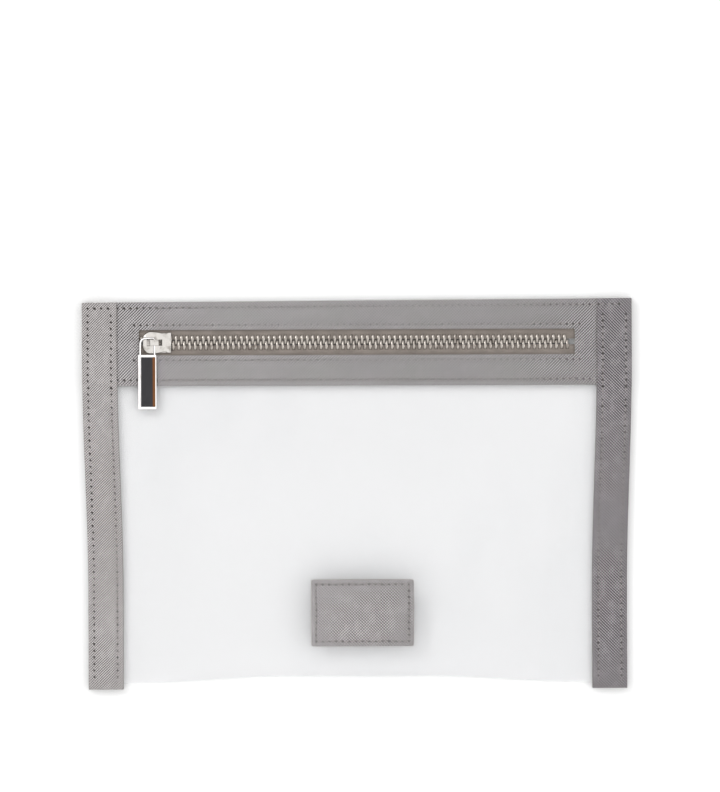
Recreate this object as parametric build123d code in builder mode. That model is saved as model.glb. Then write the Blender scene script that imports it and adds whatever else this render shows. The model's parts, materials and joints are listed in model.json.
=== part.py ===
from build123d import *
import math
import os

# A flat zip pouch for papers: one clear sheet folded at the bottom, leather-look trim round
# three sides, and a metal zip in a windowed band across the top of the front.
# It lies on its back. X runs across it, Y runs up it and Z comes out of its front.
# Sizes are in millimetres.

os.makedirs("parts", exist_ok=True)

# ---- Driving dimensions ----

# Whole case
case_width = 240.0  # across its top corners
case_length = 171.0  # up to the lip of the clear sheet
puff = 13.0  # how high the clear front stands at its fullest
side_draw_in = 2.4  # how far each side edge draws in below the band
top_slant = 1.3  # how much lower the top edge is on the left
sheet_lip = 0.8  # how far the clear sheet stands past the trim at the top right

# Thicknesses of the layers
leather_t = 1.1
sheet_t = 0.5
lining_t = 0.6
tape_t = 0.5
layer_gap = 0.05  # between layers that lie on each other

# Side strips and zip band
strip_width = 15.2
band_depth = 37.1  # from the top edge at the middle to the band's lower edge
sheet_tuck = 6.5  # how far the clear front goes up under the band
trim_inset = 0.5  # how far the layers inside stop short of the strips' outer edges

# Window for the zip
window_length = 190.2
window_clear = 0.7  # on each side of the slider
window_drop = 18.2  # from the top edge at the middle down to the zip's centre line

# Zip chain
tooth_pitch = 2.39
tooth_t = 1.8
tooth_root = 3.25  # from the centre line to a tooth's outer end
tooth_tip = 0.9  # how far a tooth reaches past the centre line
tape_edge = 1.25  # from the centre line to a tape's inner edge
tape_reach = 11.3  # from the centre line to a tape's outer edge
tooth_gap = 0.09  # between meshed teeth
tooth_shoulder = 0.25  # from a tooth's head out to its foot
tooth_tip_cut = 0.2  # across a tooth's tip, on each side
tape_overrun = 4.0  # how far the tapes run on past the window's ends
stop_size = 1.7
stop_wall = 0.3

# Slider
slider_length = 12.4
slider_width = 9.6
plate_t = 0.8
channel_clear = 0.2  # round the teeth inside the slider
slider_clear = 0.15  # over the clear back
nose_gap = 1.7  # between the slider and the window's end
divider_width = 2.0
divider_length = 3.4
divider_setback = 0.6  # from the slider's nose
tail_taper = 0.35  # how much each side of the tail narrows
tail_taper_length = 2.2
crown_width = 2.6
crown_wall = 0.85
crown_foot = 1.7  # how far each foot of the crown runs out past the tunnel
tunnel_height = 1.7
tunnel_length = 3.4
tunnel_setback = 1.1  # from the slider's middle towards its nose

# Pull: a D-shaped loop and a flat tab in one casting
loop_width = 7.2
loop_wire = 0.9
loop_t = 1.2
loop_above = 2.4  # from the chain's centre line up to the loop's arch
loop_below = 5.3  # and down to the tab
tab_width = 7.9
tab_length = 23.7
tab_t = 1.3
tab_border = 0.7
tab_recess = 0.25
loop_clear = 0.15  # under the loop, where it lies on the slider
bar_clear = 0.1  # from the crown to where the loop's round bar ends

# Label patch
label_width = 44.7
label_length = 29.2
label_x = 2.1
label_rise = 33.4  # from the case's lower end to the label's middle
label_corner = 1.1

# Thread
stitch_pitch = 2.87
stitch_gap = 0.6  # between one stitch and the next
thread_w = 0.45
thread_t = 0.2
edge_to_stitch = 2.6  # from a cut edge to its stitches
window_to_stitch = 2.2
label_to_stitch = 2.15
strip_seam_stop = 0.8  # where the top seam stops short of a strip's inner edge
band_seam_stop = 0.3  # and where the seams on the band stop short of it
seam_station = 12.0  # longest straight run of a seam down a strip

# ---- Places worked out from them ----

overrun = 1.0  # how far a cutting shape runs past what it cuts
half_width = case_width / 2
low_y = -case_length / 2
lip_y = case_length / 2
right_top_y = lip_y - sheet_lip
left_top_y = right_top_y - top_slant
mid_top_y = (right_top_y + left_top_y) / 2
band_low_y = mid_top_y - band_depth
zip_y = mid_top_y - window_drop
window_end = window_length / 2
window_height = slider_width + 2 * window_clear

# The side edges run straight beside the band, draw in, and run straight again
draw_from_y = band_low_y + 0.25 * band_depth
draw_to_y = low_y + 0.33 * (band_low_y - low_y)

# Heights of the layers under the strips, from the table up
back_leaf_seat = leather_t + layer_gap
lining_seat = back_leaf_seat + sheet_t + layer_gap
stack_zip_z = lining_seat + lining_t + layer_gap + tape_t / 2
back_leaf_low = layer_gap
tooth_channel = tooth_t + 2 * channel_clear
slider_zip_z = back_leaf_low + sheet_t + slider_clear + plate_t + tooth_channel / 2
zip_z = max(stack_zip_z, slider_zip_z)
zip_layer = max(tape_t, sheet_t) + 2 * layer_gap
band_z = zip_z + zip_layer / 2
lining_z = zip_z - zip_layer / 2 - lining_t
band_top_z = band_z + leather_t
strip_high_z = band_top_z + layer_gap
front_leaf_seat = zip_z - sheet_t / 2
strip_low_z = front_leaf_seat + sheet_t + layer_gap
strip_step_run = 4.0  # along Y, for the front strips to come down off the band

# The sheet lies flat under the strips and puffs out between them
flat_half = half_width - strip_width - side_draw_in - trim_inset
sag_run = flat_half - window_end
station_step = 11.0  # between the sheet's sections
puff_run = 0.45 * flat_half
arch_run = 0.7 * flat_half
fold_inset = 2.3  # from the strips' lower ends up to the fold
fold_arch = 3.0  # how much higher the fold is at the middle
nose_height = 8.0  # of the rounded fold at the middle
nose_stretch = 1.2  # the fold's depth over half its height
crown_y = -0.06 * case_length  # where the front stands highest
front_slope_end = band_low_y - overrun
top_margin = 4.0  # the back leaf stays up along the top seam
back_drop_run = mid_top_y - top_margin - (zip_y + window_height / 2)


def smooth(t):
    """Rises from 0 to 1 with level ends."""
    t = min(max(t, 0.0), 1.0)
    return t * t * (3 - 2 * t)


def inside(x, run):
    """0 under the strips, 1 once x is run inside them."""
    return smooth((flat_half - abs(x)) / run)


def between(low, high, share):
    """The value that far from low to high."""
    return low + (high - low) * share


def nose_at(x):
    """The fold's section at x: its lower Y, depth, half height and lowest Z."""
    half_flat = (front_leaf_seat + sheet_t - back_leaf_seat) / 2
    half_height = between(half_flat, nose_height / 2, inside(x, puff_run))
    fold_y = low_y + fold_inset + fold_arch * inside(x, arch_run)
    floor_z = between(back_leaf_seat, back_leaf_low, inside(x, sag_run))
    return fold_y, half_height * nose_stretch, half_height, floor_z


def crown_z(x):
    """Height of the clear front's outer face where it stands highest."""
    return between(front_leaf_seat + sheet_t, puff, inside(x, puff_run))


def front_z(x, y):
    """Height of the clear front's outer face between its highest line and the fold."""
    fold_y, depth, half_height, floor_z = nose_at(x)
    start_y = fold_y + depth
    start_z = floor_z + 2 * half_height
    return between(start_z, crown_z(x), smooth((y - start_y) / (crown_y - start_y)))


def strip_top_z(y):
    """Height of the front strips' face, which comes down off the band."""
    step = strip_high_z - strip_low_z
    return strip_high_z + leather_t - step * smooth((band_low_y - y) / strip_step_run)


def top_edge_y(x):
    """The trim's slanted top edge."""
    return between(left_top_y, right_top_y, (x + half_width) / case_width)


def side_x(y):
    """How far out the side edges stand at y."""
    return half_width - side_draw_in * smooth((draw_from_y - y) / (draw_from_y - draw_to_y))


def s_curve(start, end):
    """A curve with level ends, inside a BuildLine."""
    third = (end[0] - start[0]) / 3
    return Bezier(start, (start[0] + third, start[1]), (end[0] - third, end[1]), end)


def quarter_turn(level, upright):
    """A quarter of an ellipse, level at one point and upright at the other."""
    k = 4 / 3 * (math.sqrt(2) - 1)
    return Bezier(
        level,
        (between(level[0], upright[0], k), level[1]),
        (upright[0], between(upright[1], level[1], k)),
        upright,
    )


def side_edge(side, inset, top_y, bottom_y):
    """One side edge of the trim, from the top down. side is 1 on the right and -1 on the left."""
    wide = side * (half_width - inset)
    narrow = side * (half_width - inset - side_draw_in)
    dy = (draw_to_y - draw_from_y) / 3
    Line((wide, top_y), (wide, draw_from_y))
    Bezier(
        (wide, draw_from_y),
        (wide, draw_from_y + dy),
        (narrow, draw_to_y - dy),
        (narrow, draw_to_y),
    )
    Line((narrow, draw_to_y), (narrow, bottom_y))
    return (wide, top_y), (narrow, bottom_y)


def case_sketch(inset, left_y, right_y, bottom_y):
    """The area inside both side edges, between a slanted top edge and a level lower one."""
    with BuildSketch() as area:
        with BuildLine():
            right_high, right_low = side_edge(1, inset, right_y, bottom_y)
            left_high, left_low = side_edge(-1, inset, left_y, bottom_y)
            Line(right_low, left_low)
            Line(left_high, right_high)
        make_face()
    return area.sketch


def strip_sketch(side):
    """The area of a side strip."""
    outer_top = right_top_y if side > 0 else left_top_y
    inner_top = top_edge_y(side * (half_width - strip_width))
    with BuildSketch() as area:
        with BuildLine():
            outer_high, outer_low = side_edge(side, 0, outer_top, low_y)
            inner_high, inner_low = side_edge(side, strip_width, inner_top, low_y)
            Line(outer_high, inner_high)
            Line(outer_low, inner_low)
        make_face()
    return area.sketch


def sheet_section(x):
    """The clear sheet's thin U at x: back leaf, rounded fold and front leaf."""
    fold_y, depth, half_height, floor_z = nose_at(x)
    centre_y = fold_y + depth
    centre_z = floor_z + half_height
    drop_y = mid_top_y - top_margin
    flat_y = drop_y - back_drop_run
    tuck_y = band_low_y + sheet_tuck
    high = crown_z(x)
    with BuildLine(Plane.YZ.offset(x)) as section:
        for wall in (0, sheet_t):
            back_z = floor_z + wall
            seat_z = back_leaf_seat + wall
            front_end_z = front_leaf_seat + sheet_t - wall
            Line((lip_y + overrun, seat_z), (drop_y, seat_z))
            s_curve((drop_y, seat_z), (flat_y, back_z))
            Line((flat_y, back_z), (centre_y, back_z))
            quarter_turn((centre_y, back_z), (fold_y + wall, centre_z))
            top_z = centre_z + half_height - wall
            quarter_turn((centre_y, top_z), (fold_y + wall, centre_z))
            s_curve((centre_y, top_z), (crown_y, high - wall))
            s_curve((crown_y, high - wall), (front_slope_end, front_end_z))
            Line((front_slope_end, front_end_z), (tuck_y, front_end_z))
        Line((lip_y + overrun, back_leaf_seat), (lip_y + overrun, back_leaf_seat + sheet_t))
        Line((tuck_y, front_leaf_seat + sheet_t), (tuck_y, front_leaf_seat))
    # A sketch would join the level runs to their neighbours, and a loft needs every
    # section to have the same edges, so the face is made from the edges as they are.
    return Face(Wire(section.edges()))


def spread(low, high, most):
    """Evenly spaced values from low to high, at most that far apart."""
    steps = max(1, math.ceil((high - low) / most))
    return [between(low, high, n / steps) for n in range(steps + 1)]


# ---- Clear sheet ----

sag_stations = [half_width, flat_half, flat_half - sag_run / 2]
sheet_stations = (
    [-x for x in sag_stations] + spread(-window_end, window_end, station_step) + sag_stations[::-1]
)

with BuildPart() as clear_sheet:
    loft([sheet_section(station) for station in sheet_stations], ruled=True)
    sheet_area = case_sketch(trim_inset, left_top_y, lip_y, low_y)
    extrude(sheet_area, amount=2 * puff, dir=(0, 0, 1), mode=Mode.INTERSECT)
clear_sheet.part.label = "clear_sheet"
export_step(clear_sheet.part, "parts/clear_sheet.step")

# ---- Zip band and its lining ----


def band_sketch():
    """The band's area with its window."""
    with BuildSketch() as area:
        add(case_sketch(trim_inset, left_top_y, right_top_y, low_y))
        with Locations((0, band_low_y + band_depth)):
            Rectangle(case_width, 2 * band_depth, mode=Mode.INTERSECT)
        with Locations((0, zip_y)):
            Rectangle(window_length, window_height, mode=Mode.SUBTRACT)
    return area.sketch


with BuildPart() as zip_band:
    with BuildSketch(Plane.XY.offset(band_z)):
        add(band_sketch())
    extrude(amount=leather_t, dir=(0, 0, 1))
zip_band.part.label = "zip_band"
export_step(zip_band.part, "parts/zip_band.step")

with BuildPart() as band_lining:
    with BuildSketch(Plane.XY.offset(lining_z)):
        add(band_sketch())
    extrude(amount=lining_t, dir=(0, 0, 1))
band_lining.part.label = "band_lining"
export_step(band_lining.part, "parts/band_lining.step")

# ---- Side strips: one in front and one behind on each side ----


def front_strip_profile():
    """A front strip's thickness, seen from the side: level on the band, then down to the sheet."""
    with BuildSketch(Plane.YZ.offset(-half_width - overrun)) as profile:
        with BuildLine():
            for lift in (0, leather_t):
                high_z = strip_high_z + lift
                low_z = strip_low_z + lift
                step_y = band_low_y - layer_gap
                Line((lip_y + overrun, high_z), (step_y, high_z))
                s_curve((step_y, high_z), (step_y - strip_step_run, low_z))
                Line((step_y - strip_step_run, low_z), (low_y - overrun, low_z))
            Line((lip_y + overrun, strip_high_z), (lip_y + overrun, strip_high_z + leather_t))
            Line((low_y - overrun, strip_low_z), (low_y - overrun, strip_low_z + leather_t))
        make_face()
    return profile.sketch


with BuildPart() as left_front_strip:
    add(front_strip_profile())
    extrude(amount=case_width + 2 * overrun, dir=(1, 0, 0))
    extrude(strip_sketch(-1), amount=2 * puff, dir=(0, 0, 1), mode=Mode.INTERSECT)
left_front_strip.part.label = "left_front_strip"
export_step(left_front_strip.part, "parts/left_front_strip.step")

with BuildPart() as right_front_strip:
    add(front_strip_profile())
    extrude(amount=case_width + 2 * overrun, dir=(1, 0, 0))
    extrude(strip_sketch(1), amount=2 * puff, dir=(0, 0, 1), mode=Mode.INTERSECT)
right_front_strip.part.label = "right_front_strip"
export_step(right_front_strip.part, "parts/right_front_strip.step")

with BuildPart() as left_back_strip:
    extrude(strip_sketch(-1), amount=leather_t, dir=(0, 0, 1))
left_back_strip.part.label = "left_back_strip"
export_step(left_back_strip.part, "parts/left_back_strip.step")

with BuildPart() as right_back_strip:
    extrude(strip_sketch(1), amount=leather_t, dir=(0, 0, 1))
right_back_strip.part.label = "right_back_strip"
export_step(right_back_strip.part, "parts/right_back_strip.step")

# ---- Label patch, sewn on the clear front ----

label_y = low_y + label_rise
label_low_y = label_y - label_length / 2
label_high_y = label_y + label_length / 2


label_station = 5.0  # between the points of the label's curve


def label_face_z(y):
    """Height of the clear front under the label."""
    return front_z(label_x, y) + layer_gap


with BuildPart() as label_patch:
    with BuildSketch(Plane.YZ.offset(label_x - label_width / 2)):
        with BuildLine():
            label_ys = spread(label_low_y, label_high_y, label_station)
            Spline([(y, label_face_z(y)) for y in label_ys])
            Spline([(y, label_face_z(y) + leather_t) for y in label_ys])
            for y in (label_low_y, label_high_y):
                Line((y, label_face_z(y)), (y, label_face_z(y) + leather_t))
        make_face()
    extrude(amount=label_width, dir=(1, 0, 0))
    with BuildSketch():
        with Locations((label_x, label_y)):
            RectangleRounded(label_width, label_length, label_corner)
    extrude(amount=2 * puff, mode=Mode.INTERSECT)
label_patch.part.label = "label_patch"
export_step(label_patch.part, "parts/label_patch.step")

# ---- Zip tapes ----

tape_end = window_end + tape_overrun
tape_low_z = zip_z - tape_t / 2


def tape_sketch(side):
    """A tape's area, above the chain for side 1 and below it for -1."""
    with BuildSketch(Plane.XY.offset(tape_low_z)) as area:
        with Locations((0, zip_y + side * (tape_edge + tape_reach) / 2)):
            Rectangle(2 * tape_end, tape_reach - tape_edge)
    return area.sketch


with BuildPart() as upper_tape:
    extrude(tape_sketch(1), amount=tape_t, dir=(0, 0, 1))
upper_tape.part.label = "upper_tape"
export_step(upper_tape.part, "parts/upper_tape.step")

with BuildPart() as lower_tape:
    extrude(tape_sketch(-1), amount=tape_t, dir=(0, 0, 1))
lower_tape.part.label = "lower_tape"
export_step(lower_tape.part, "parts/lower_tape.step")

# ---- Slider places, which the chain's first teeth depend on ----

slider_nose_x = -window_end + nose_gap
slider_x = slider_nose_x + slider_length / 2
divider_x = slider_nose_x + divider_setback + divider_length / 2
channel_half = tooth_root + channel_clear

# ---- Zip teeth: each clamps its tape's edge, and the two rows mesh ----

tooth_head_w = tooth_pitch / 2 - tooth_gap
tooth_foot_w = tooth_pitch * 0.56
tooth_neck = tooth_tip + tooth_shoulder
first_tooth_x = divider_x + divider_length / 2 + tooth_foot_w / 2 + channel_clear
tooth_count = int((window_end - first_tooth_x - tooth_pitch) / tooth_pitch) + 1


def tooth_sketch(side):
    """A tooth seen from the front: a narrow head that meshes and a wider foot on the tape."""
    head = tooth_head_w / 2
    foot = tooth_foot_w / 2
    neck = side * tooth_neck
    root = side * tooth_root
    tip = -side * tooth_tip
    with BuildSketch() as tooth:
        with BuildLine():
            Polyline(
                (-head, neck),
                (-head, tip + side * tooth_tip_cut),
                (-head + tooth_tip_cut, tip),
                (head - tooth_tip_cut, tip),
                (head, tip + side * tooth_tip_cut),
                (head, neck),
                (foot, neck + side * tooth_shoulder),
                (foot, root),
                (-foot, root),
                (-foot, neck + side * tooth_shoulder),
                (-head, neck),
            )
        make_face()
    return tooth.sketch


def tooth_places(side):
    """Where a row's teeth stand. The lower row is half a pitch along."""
    shift = 0 if side > 0 else tooth_pitch / 2
    return [(first_tooth_x + shift + n * tooth_pitch, zip_y) for n in range(tooth_count)]


def teeth_sketch(side):
    """A whole row of teeth, seen from the front."""
    tooth = tooth_sketch(side)
    with BuildSketch(Plane.XY.offset(zip_z - tooth_t / 2)) as row:
        with Locations(*tooth_places(side)):
            add(tooth)
    return row.sketch


def cut_tape_slots(side):
    """The slots in a row of teeth that clamp the tape."""
    slot_depth = tooth_root - tape_edge + overrun
    with Locations((0, zip_y + side * (tape_edge - layer_gap + slot_depth / 2), zip_z)):
        Box(case_width, slot_depth, tape_t + 2 * layer_gap, mode=Mode.SUBTRACT)


with BuildPart() as upper_teeth:
    extrude(teeth_sketch(1), amount=tooth_t, dir=(0, 0, 1))
    cut_tape_slots(1)
upper_teeth.part.label = "upper_teeth"
export_step(upper_teeth.part, "parts/upper_teeth.step")

with BuildPart() as lower_teeth:
    extrude(teeth_sketch(-1), amount=tooth_t, dir=(0, 0, 1))
    cut_tape_slots(-1)
lower_teeth.part.label = "lower_teeth"
export_step(lower_teeth.part, "parts/lower_teeth.step")

# ---- Top stops, clamped on the tapes in the slider's mouths ----

stop_inner = tape_edge - layer_gap - stop_wall
stop_places = [(1, 0.3), (-1, 1.5)]  # side of the chain, and how far past the nose's tip

with BuildPart() as top_stops:
    for side, along in stop_places:
        stop_x = slider_nose_x - stop_size / 2 + along
        with Locations((stop_x, zip_y + side * (stop_inner + stop_size / 2), zip_z)):
            Box(stop_size, stop_size, tooth_t)
        slot_y = zip_y + side * (stop_inner + stop_wall + stop_size / 2)
        with Locations((stop_x, slot_y, zip_z)):
            Box(2 * stop_size, stop_size, tape_t + 2 * layer_gap, mode=Mode.SUBTRACT)
top_stops.part.label = "top_stops"
export_step(top_stops.part, "parts/top_stops.step")

# ---- Slider: two plates joined by the divider, with flanges that guide the teeth ----

flange_start_x = slider_x - divider_setback
nose_radius = 0.36 * slider_width
tail_x = slider_nose_x + slider_length
flange_gap = tape_t + 2 * channel_clear
channel_z = zip_z + tooth_channel / 2
slider_top_z = channel_z + plate_t


def slider_sketch(bottom_z):
    """A slider plate's area: a round nose and a narrower tail."""
    with BuildSketch(Plane.XY.offset(bottom_z)) as area:
        with Locations((slider_x, zip_y)):
            Rectangle(slider_length, slider_width)
        nose = area.vertices().group_by(Axis.X)[0]
        tail = area.vertices().group_by(Axis.X)[-1]
        fillet(nose, nose_radius)
        chamfer(tail, tail_taper, tail_taper_length)
    return area.sketch


def slider_flanges(bottom_z, height):
    """The two side walls of one plate, beside the teeth."""
    flange_length = tail_x - flange_start_x - tail_taper_length
    flange_width = slider_width / 2 - tail_taper - channel_half
    for side in (-1, 1):
        flange_y = zip_y + side * (channel_half + flange_width / 2)
        with Locations((flange_start_x + flange_length / 2, flange_y, bottom_z)):
            Box(
                flange_length,
                flange_width,
                height,
                align=(Align.CENTER, Align.CENTER, Align.MIN),
            )


with BuildPart() as slider_body:
    extrude(slider_sketch(channel_z), amount=plate_t, dir=(0, 0, 1))
    extrude(
        slider_sketch(zip_z - tooth_channel / 2 - plate_t), amount=plate_t, dir=(0, 0, 1)
    )
    with BuildSketch(Plane.XY.offset(zip_z - tooth_channel / 2)):
        with Locations((divider_x, zip_y)):
            Ellipse(divider_length / 2, divider_width / 2)
    extrude(amount=tooth_channel, dir=(0, 0, 1))
    slider_flanges(zip_z - tooth_channel / 2, (tooth_channel - flange_gap) / 2)
    slider_flanges(zip_z + flange_gap / 2, (tooth_channel - flange_gap) / 2)
slider_body.part.label = "slider_body"
export_step(slider_body.part, "parts/slider_body.step")

# ---- Crown: the bridge over the slider that holds the pull's loop ----

pull_axis_x = slider_x - tunnel_setback
crown_half = tunnel_length / 2 + crown_foot
crown_top_z = slider_top_z + tunnel_height + crown_wall

with BuildPart() as slider_crown:
    with BuildSketch(Plane.XZ.offset(-zip_y - crown_width / 2)):
        with BuildLine():
            Polyline(
                (pull_axis_x - crown_half, slider_top_z),
                (pull_axis_x - crown_half, slider_top_z + crown_wall),
                (pull_axis_x - tunnel_length / 2, crown_top_z),
                (pull_axis_x + tunnel_length / 2, crown_top_z),
                (pull_axis_x + crown_half, slider_top_z + crown_wall),
                (pull_axis_x + crown_half, slider_top_z),
                (pull_axis_x - crown_half, slider_top_z),
            )
        make_face()
        with Locations((pull_axis_x, slider_top_z + tunnel_height / 2)):
            Rectangle(tunnel_length, tunnel_height, mode=Mode.SUBTRACT)
    extrude(amount=crown_width, dir=(0, -1, 0))
slider_crown.part.label = "slider_crown"
export_step(slider_crown.part, "parts/slider_crown.step")

# ---- Pull: it lies to the nose's side and swings over about the wire in the tunnel ----

pull_axis_z = slider_top_z + loop_clear + loop_t / 2
loop_x = -(loop_width - loop_wire) / 2
tab_y = -loop_below - tab_length / 2
pull_plane = Plane((pull_axis_x, zip_y, pull_axis_z))


arch_radius = 0.42 * loop_width
bar_half = crown_width / 2 + bar_clear
bar_corner = loop_above - bar_half


def arch_sketch(inset):
    """The loop's outline, inset by its wire for the hole. The bar's side stays straight
    past the crown, and the other side goes over in a wide arch."""
    width = loop_width - 2 * inset
    length = loop_above + loop_below - inset
    with BuildSketch() as arch:
        with Locations((loop_x, length / 2 - loop_below)):
            Rectangle(width, length)
        outer_corner, inner_corner = arch.vertices().group_by(Axis.Y)[-1].sort_by(Axis.X)
        fillet(outer_corner, arch_radius - inset)
        fillet(inner_corner, bar_corner - inset)
    return arch.sketch


loop_outside = arch_sketch(0)
loop_hole = arch_sketch(loop_wire)

with BuildPart() as pull_tab:
    with BuildSketch(pull_plane.offset(-loop_t / 2)):
        add(loop_outside)
        add(loop_hole, mode=Mode.SUBTRACT)
    extrude(amount=loop_t)
    # The side in the tunnel is a round bar, so that it turns there
    with Locations((pull_axis_x, zip_y, pull_axis_z)):
        Box(2 * loop_wire, 2 * bar_half, 2 * loop_t, mode=Mode.SUBTRACT)
        Cylinder(loop_wire / 2, 2 * bar_half, rotation=(90, 0, 0))
    with BuildSketch(pull_plane.offset(-tab_t / 2)):
        with Locations((loop_x, tab_y)):
            Rectangle(tab_width, tab_length)
    extrude(amount=tab_t)
    with BuildSketch(pull_plane.offset(tab_t / 2)):
        with Locations((loop_x, tab_y)):
            Rectangle(tab_width - 2 * tab_border, tab_length - 2 * tab_border)
    extrude(amount=-tab_recess, mode=Mode.SUBTRACT)
pull_tab.part.label = "pull_tab"
export_step(pull_tab.part, "parts/pull_tab.step")

# ---- Thread: each seam is a row of separate stitches on the leather ----


def seam(points, face_z):
    """Stitches along straight runs between points, each lying on the face below it."""
    for (x0, y0), (x1, y1) in zip(points, points[1:]):
        count = max(1, round(math.hypot(x1 - x0, y1 - y0) / stitch_pitch))
        pitch = math.hypot(x1 - x0, y1 - y0) / count
        turn = math.degrees(math.atan2(y1 - y0, x1 - x0))
        places = []
        for n in range(count):
            start, middle, end = [
                (between(x0, x1, share), between(y0, y1, share))
                for share in (n / count, (n + 0.5) / count, (n + 1) / count)
            ]
            high_z = max(face_z(*start), face_z(*middle), face_z(*end))
            places.append(Location((*middle, high_z), (0, 0, turn)))
        with Locations(*places):
            Box(
                pitch - stitch_gap,
                thread_w,
                thread_t,
                align=(Align.CENTER, Align.CENTER, Align.MIN),
            )


def trim_top_z(x, y):
    """The face that a stitch lies on: a side strip's, or the band's between the strips."""
    on_strip = abs(x) > side_x(y) - strip_width
    return strip_top_z(y) if on_strip else band_top_z


def band_face_z(x, y):
    """The band's face."""
    return band_top_z


def label_top_z(x, y):
    """The label's face, at the higher side of a thread that lies across its slope."""
    higher_side = max(label_face_z(y - thread_w / 2), label_face_z(y + thread_w / 2))
    return higher_side + leather_t


def column(side, inset, ends):
    """Points of a seam that runs down a side strip, inset from its outer edge."""
    return [(side * (side_x(y) - inset), y) for y in ends]


def top_seam_at(x):
    """A point of the seam along the top edge."""
    return x, top_edge_y(x) - edge_to_stitch


seam_top_left = (-half_width + edge_to_stitch, left_top_y - edge_to_stitch)
seam_top_right = (half_width - edge_to_stitch, right_top_y - edge_to_stitch)
column_low_y = low_y + edge_to_stitch
column_high_y = left_top_y - edge_to_stitch - stitch_pitch
column_ys = spread(column_low_y, column_high_y, seam_station)[::-1]
strip_inner_x = half_width - strip_width
on_strip_x = strip_inner_x + strip_seam_stop
on_band_x = strip_inner_x - band_seam_stop
band_seam_y = band_low_y + edge_to_stitch
window_seam_x = window_end + window_to_stitch
window_seam_low = zip_y - window_height / 2 - window_to_stitch
window_seam_high = zip_y + window_height / 2 + window_to_stitch
label_seam_x = label_width / 2 - label_to_stitch
label_seam_y = label_length / 2 - label_to_stitch

with BuildPart() as top_seam_thread:
    seam([seam_top_left, top_seam_at(-on_strip_x)], trim_top_z)
    seam([top_seam_at(-on_band_x), top_seam_at(on_band_x)], band_face_z)
    seam([top_seam_at(on_strip_x), seam_top_right], trim_top_z)
top_seam_thread.part.label = "top_seam_thread"
export_step(top_seam_thread.part, "parts/top_seam_thread.step")

with BuildPart() as window_thread:
    seam(
        [
            (-window_seam_x, window_seam_high),
            (window_seam_x, window_seam_high),
            (window_seam_x, window_seam_low),
            (-window_seam_x, window_seam_low),
            (-window_seam_x, window_seam_high),
        ],
        band_face_z,
    )
window_thread.part.label = "window_thread"
export_step(window_thread.part, "parts/window_thread.step")

with BuildPart() as band_seam_thread:
    seam([(-on_band_x, band_seam_y), (on_band_x, band_seam_y)], band_face_z)
band_seam_thread.part.label = "band_seam_thread"
export_step(band_seam_thread.part, "parts/band_seam_thread.step")

with BuildPart() as left_outer_thread:
    seam(column(-1, edge_to_stitch, column_ys), trim_top_z)
left_outer_thread.part.label = "left_outer_thread"
export_step(left_outer_thread.part, "parts/left_outer_thread.step")

with BuildPart() as left_inner_thread:
    seam(column(-1, strip_width - edge_to_stitch, column_ys), trim_top_z)
left_inner_thread.part.label = "left_inner_thread"
export_step(left_inner_thread.part, "parts/left_inner_thread.step")

with BuildPart() as right_outer_thread:
    seam(column(1, edge_to_stitch, column_ys), trim_top_z)
right_outer_thread.part.label = "right_outer_thread"
export_step(right_outer_thread.part, "parts/right_outer_thread.step")

with BuildPart() as right_inner_thread:
    seam(column(1, strip_width - edge_to_stitch, column_ys), trim_top_z)
right_inner_thread.part.label = "right_inner_thread"
export_step(right_inner_thread.part, "parts/right_inner_thread.step")

with BuildPart() as label_thread:
    seam(
        [
            (label_x + across * label_seam_x, label_y + along * label_seam_y)
            for across, along in ((-1, 1), (1, 1), (1, -1), (-1, -1), (-1, 1))
        ],
        label_top_z,
    )
label_thread.part.label = "label_thread"
export_step(label_thread.part, "parts/label_thread.step")
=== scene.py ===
import json
import logging
import math
import random
from collections.abc import Callable, Iterable, Sequence
from dataclasses import dataclass
from enum import Enum
from functools import cache

import bmesh
import bpy
from mathutils import Matrix, Vector


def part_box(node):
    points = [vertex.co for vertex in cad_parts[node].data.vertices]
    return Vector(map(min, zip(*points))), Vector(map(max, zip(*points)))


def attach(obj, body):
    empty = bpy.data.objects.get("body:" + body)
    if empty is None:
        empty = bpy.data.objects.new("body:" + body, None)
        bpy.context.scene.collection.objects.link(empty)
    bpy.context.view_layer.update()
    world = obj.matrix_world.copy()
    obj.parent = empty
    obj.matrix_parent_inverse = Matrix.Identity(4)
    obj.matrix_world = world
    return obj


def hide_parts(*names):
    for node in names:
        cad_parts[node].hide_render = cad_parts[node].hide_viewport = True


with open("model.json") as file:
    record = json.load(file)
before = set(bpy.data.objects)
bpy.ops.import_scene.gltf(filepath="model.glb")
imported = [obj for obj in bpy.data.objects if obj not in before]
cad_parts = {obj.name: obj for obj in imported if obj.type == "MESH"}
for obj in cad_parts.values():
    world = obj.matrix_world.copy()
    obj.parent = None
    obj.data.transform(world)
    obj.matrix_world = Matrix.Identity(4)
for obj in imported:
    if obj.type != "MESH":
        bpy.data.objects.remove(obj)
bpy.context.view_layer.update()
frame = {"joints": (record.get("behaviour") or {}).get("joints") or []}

# A clear zip pouch with leather trim, dressed for close looks. Sizes are in metres.

MM = 0.001
LOG = logging.getLogger("pouch")

Colour = tuple[float, float, float]
Test = Callable[[Vector], bool]


class Body(Enum):
    """The bodies that a piece can ride on."""

    CASE = "case"
    SLIDER = "slider"
    PULL = "pull"


class Slot(Enum):
    """The record's finishes."""

    LEATHER = "leather"
    CLEAR = "clear_sheet"
    LINING = "lining"
    TAPE = "zip_tape"
    METAL = "zip_metal"
    PULL = "pull_metal"
    THREAD = "thread"


class Axis(Enum):
    """The frame's axes."""

    X = 0
    Y = 1
    Z = 2

    def vector(self) -> Vector:
        """The axis as a unit vector."""
        return Vector([1.0 if n == self.value else 0.0 for n in range(3)])


class Side(Enum):
    """The case's left and right sides, with the sign of their X."""

    LEFT = -1
    RIGHT = 1

    def word(self) -> str:
        """The side's name in lower case."""
        return self.name.lower()


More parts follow.
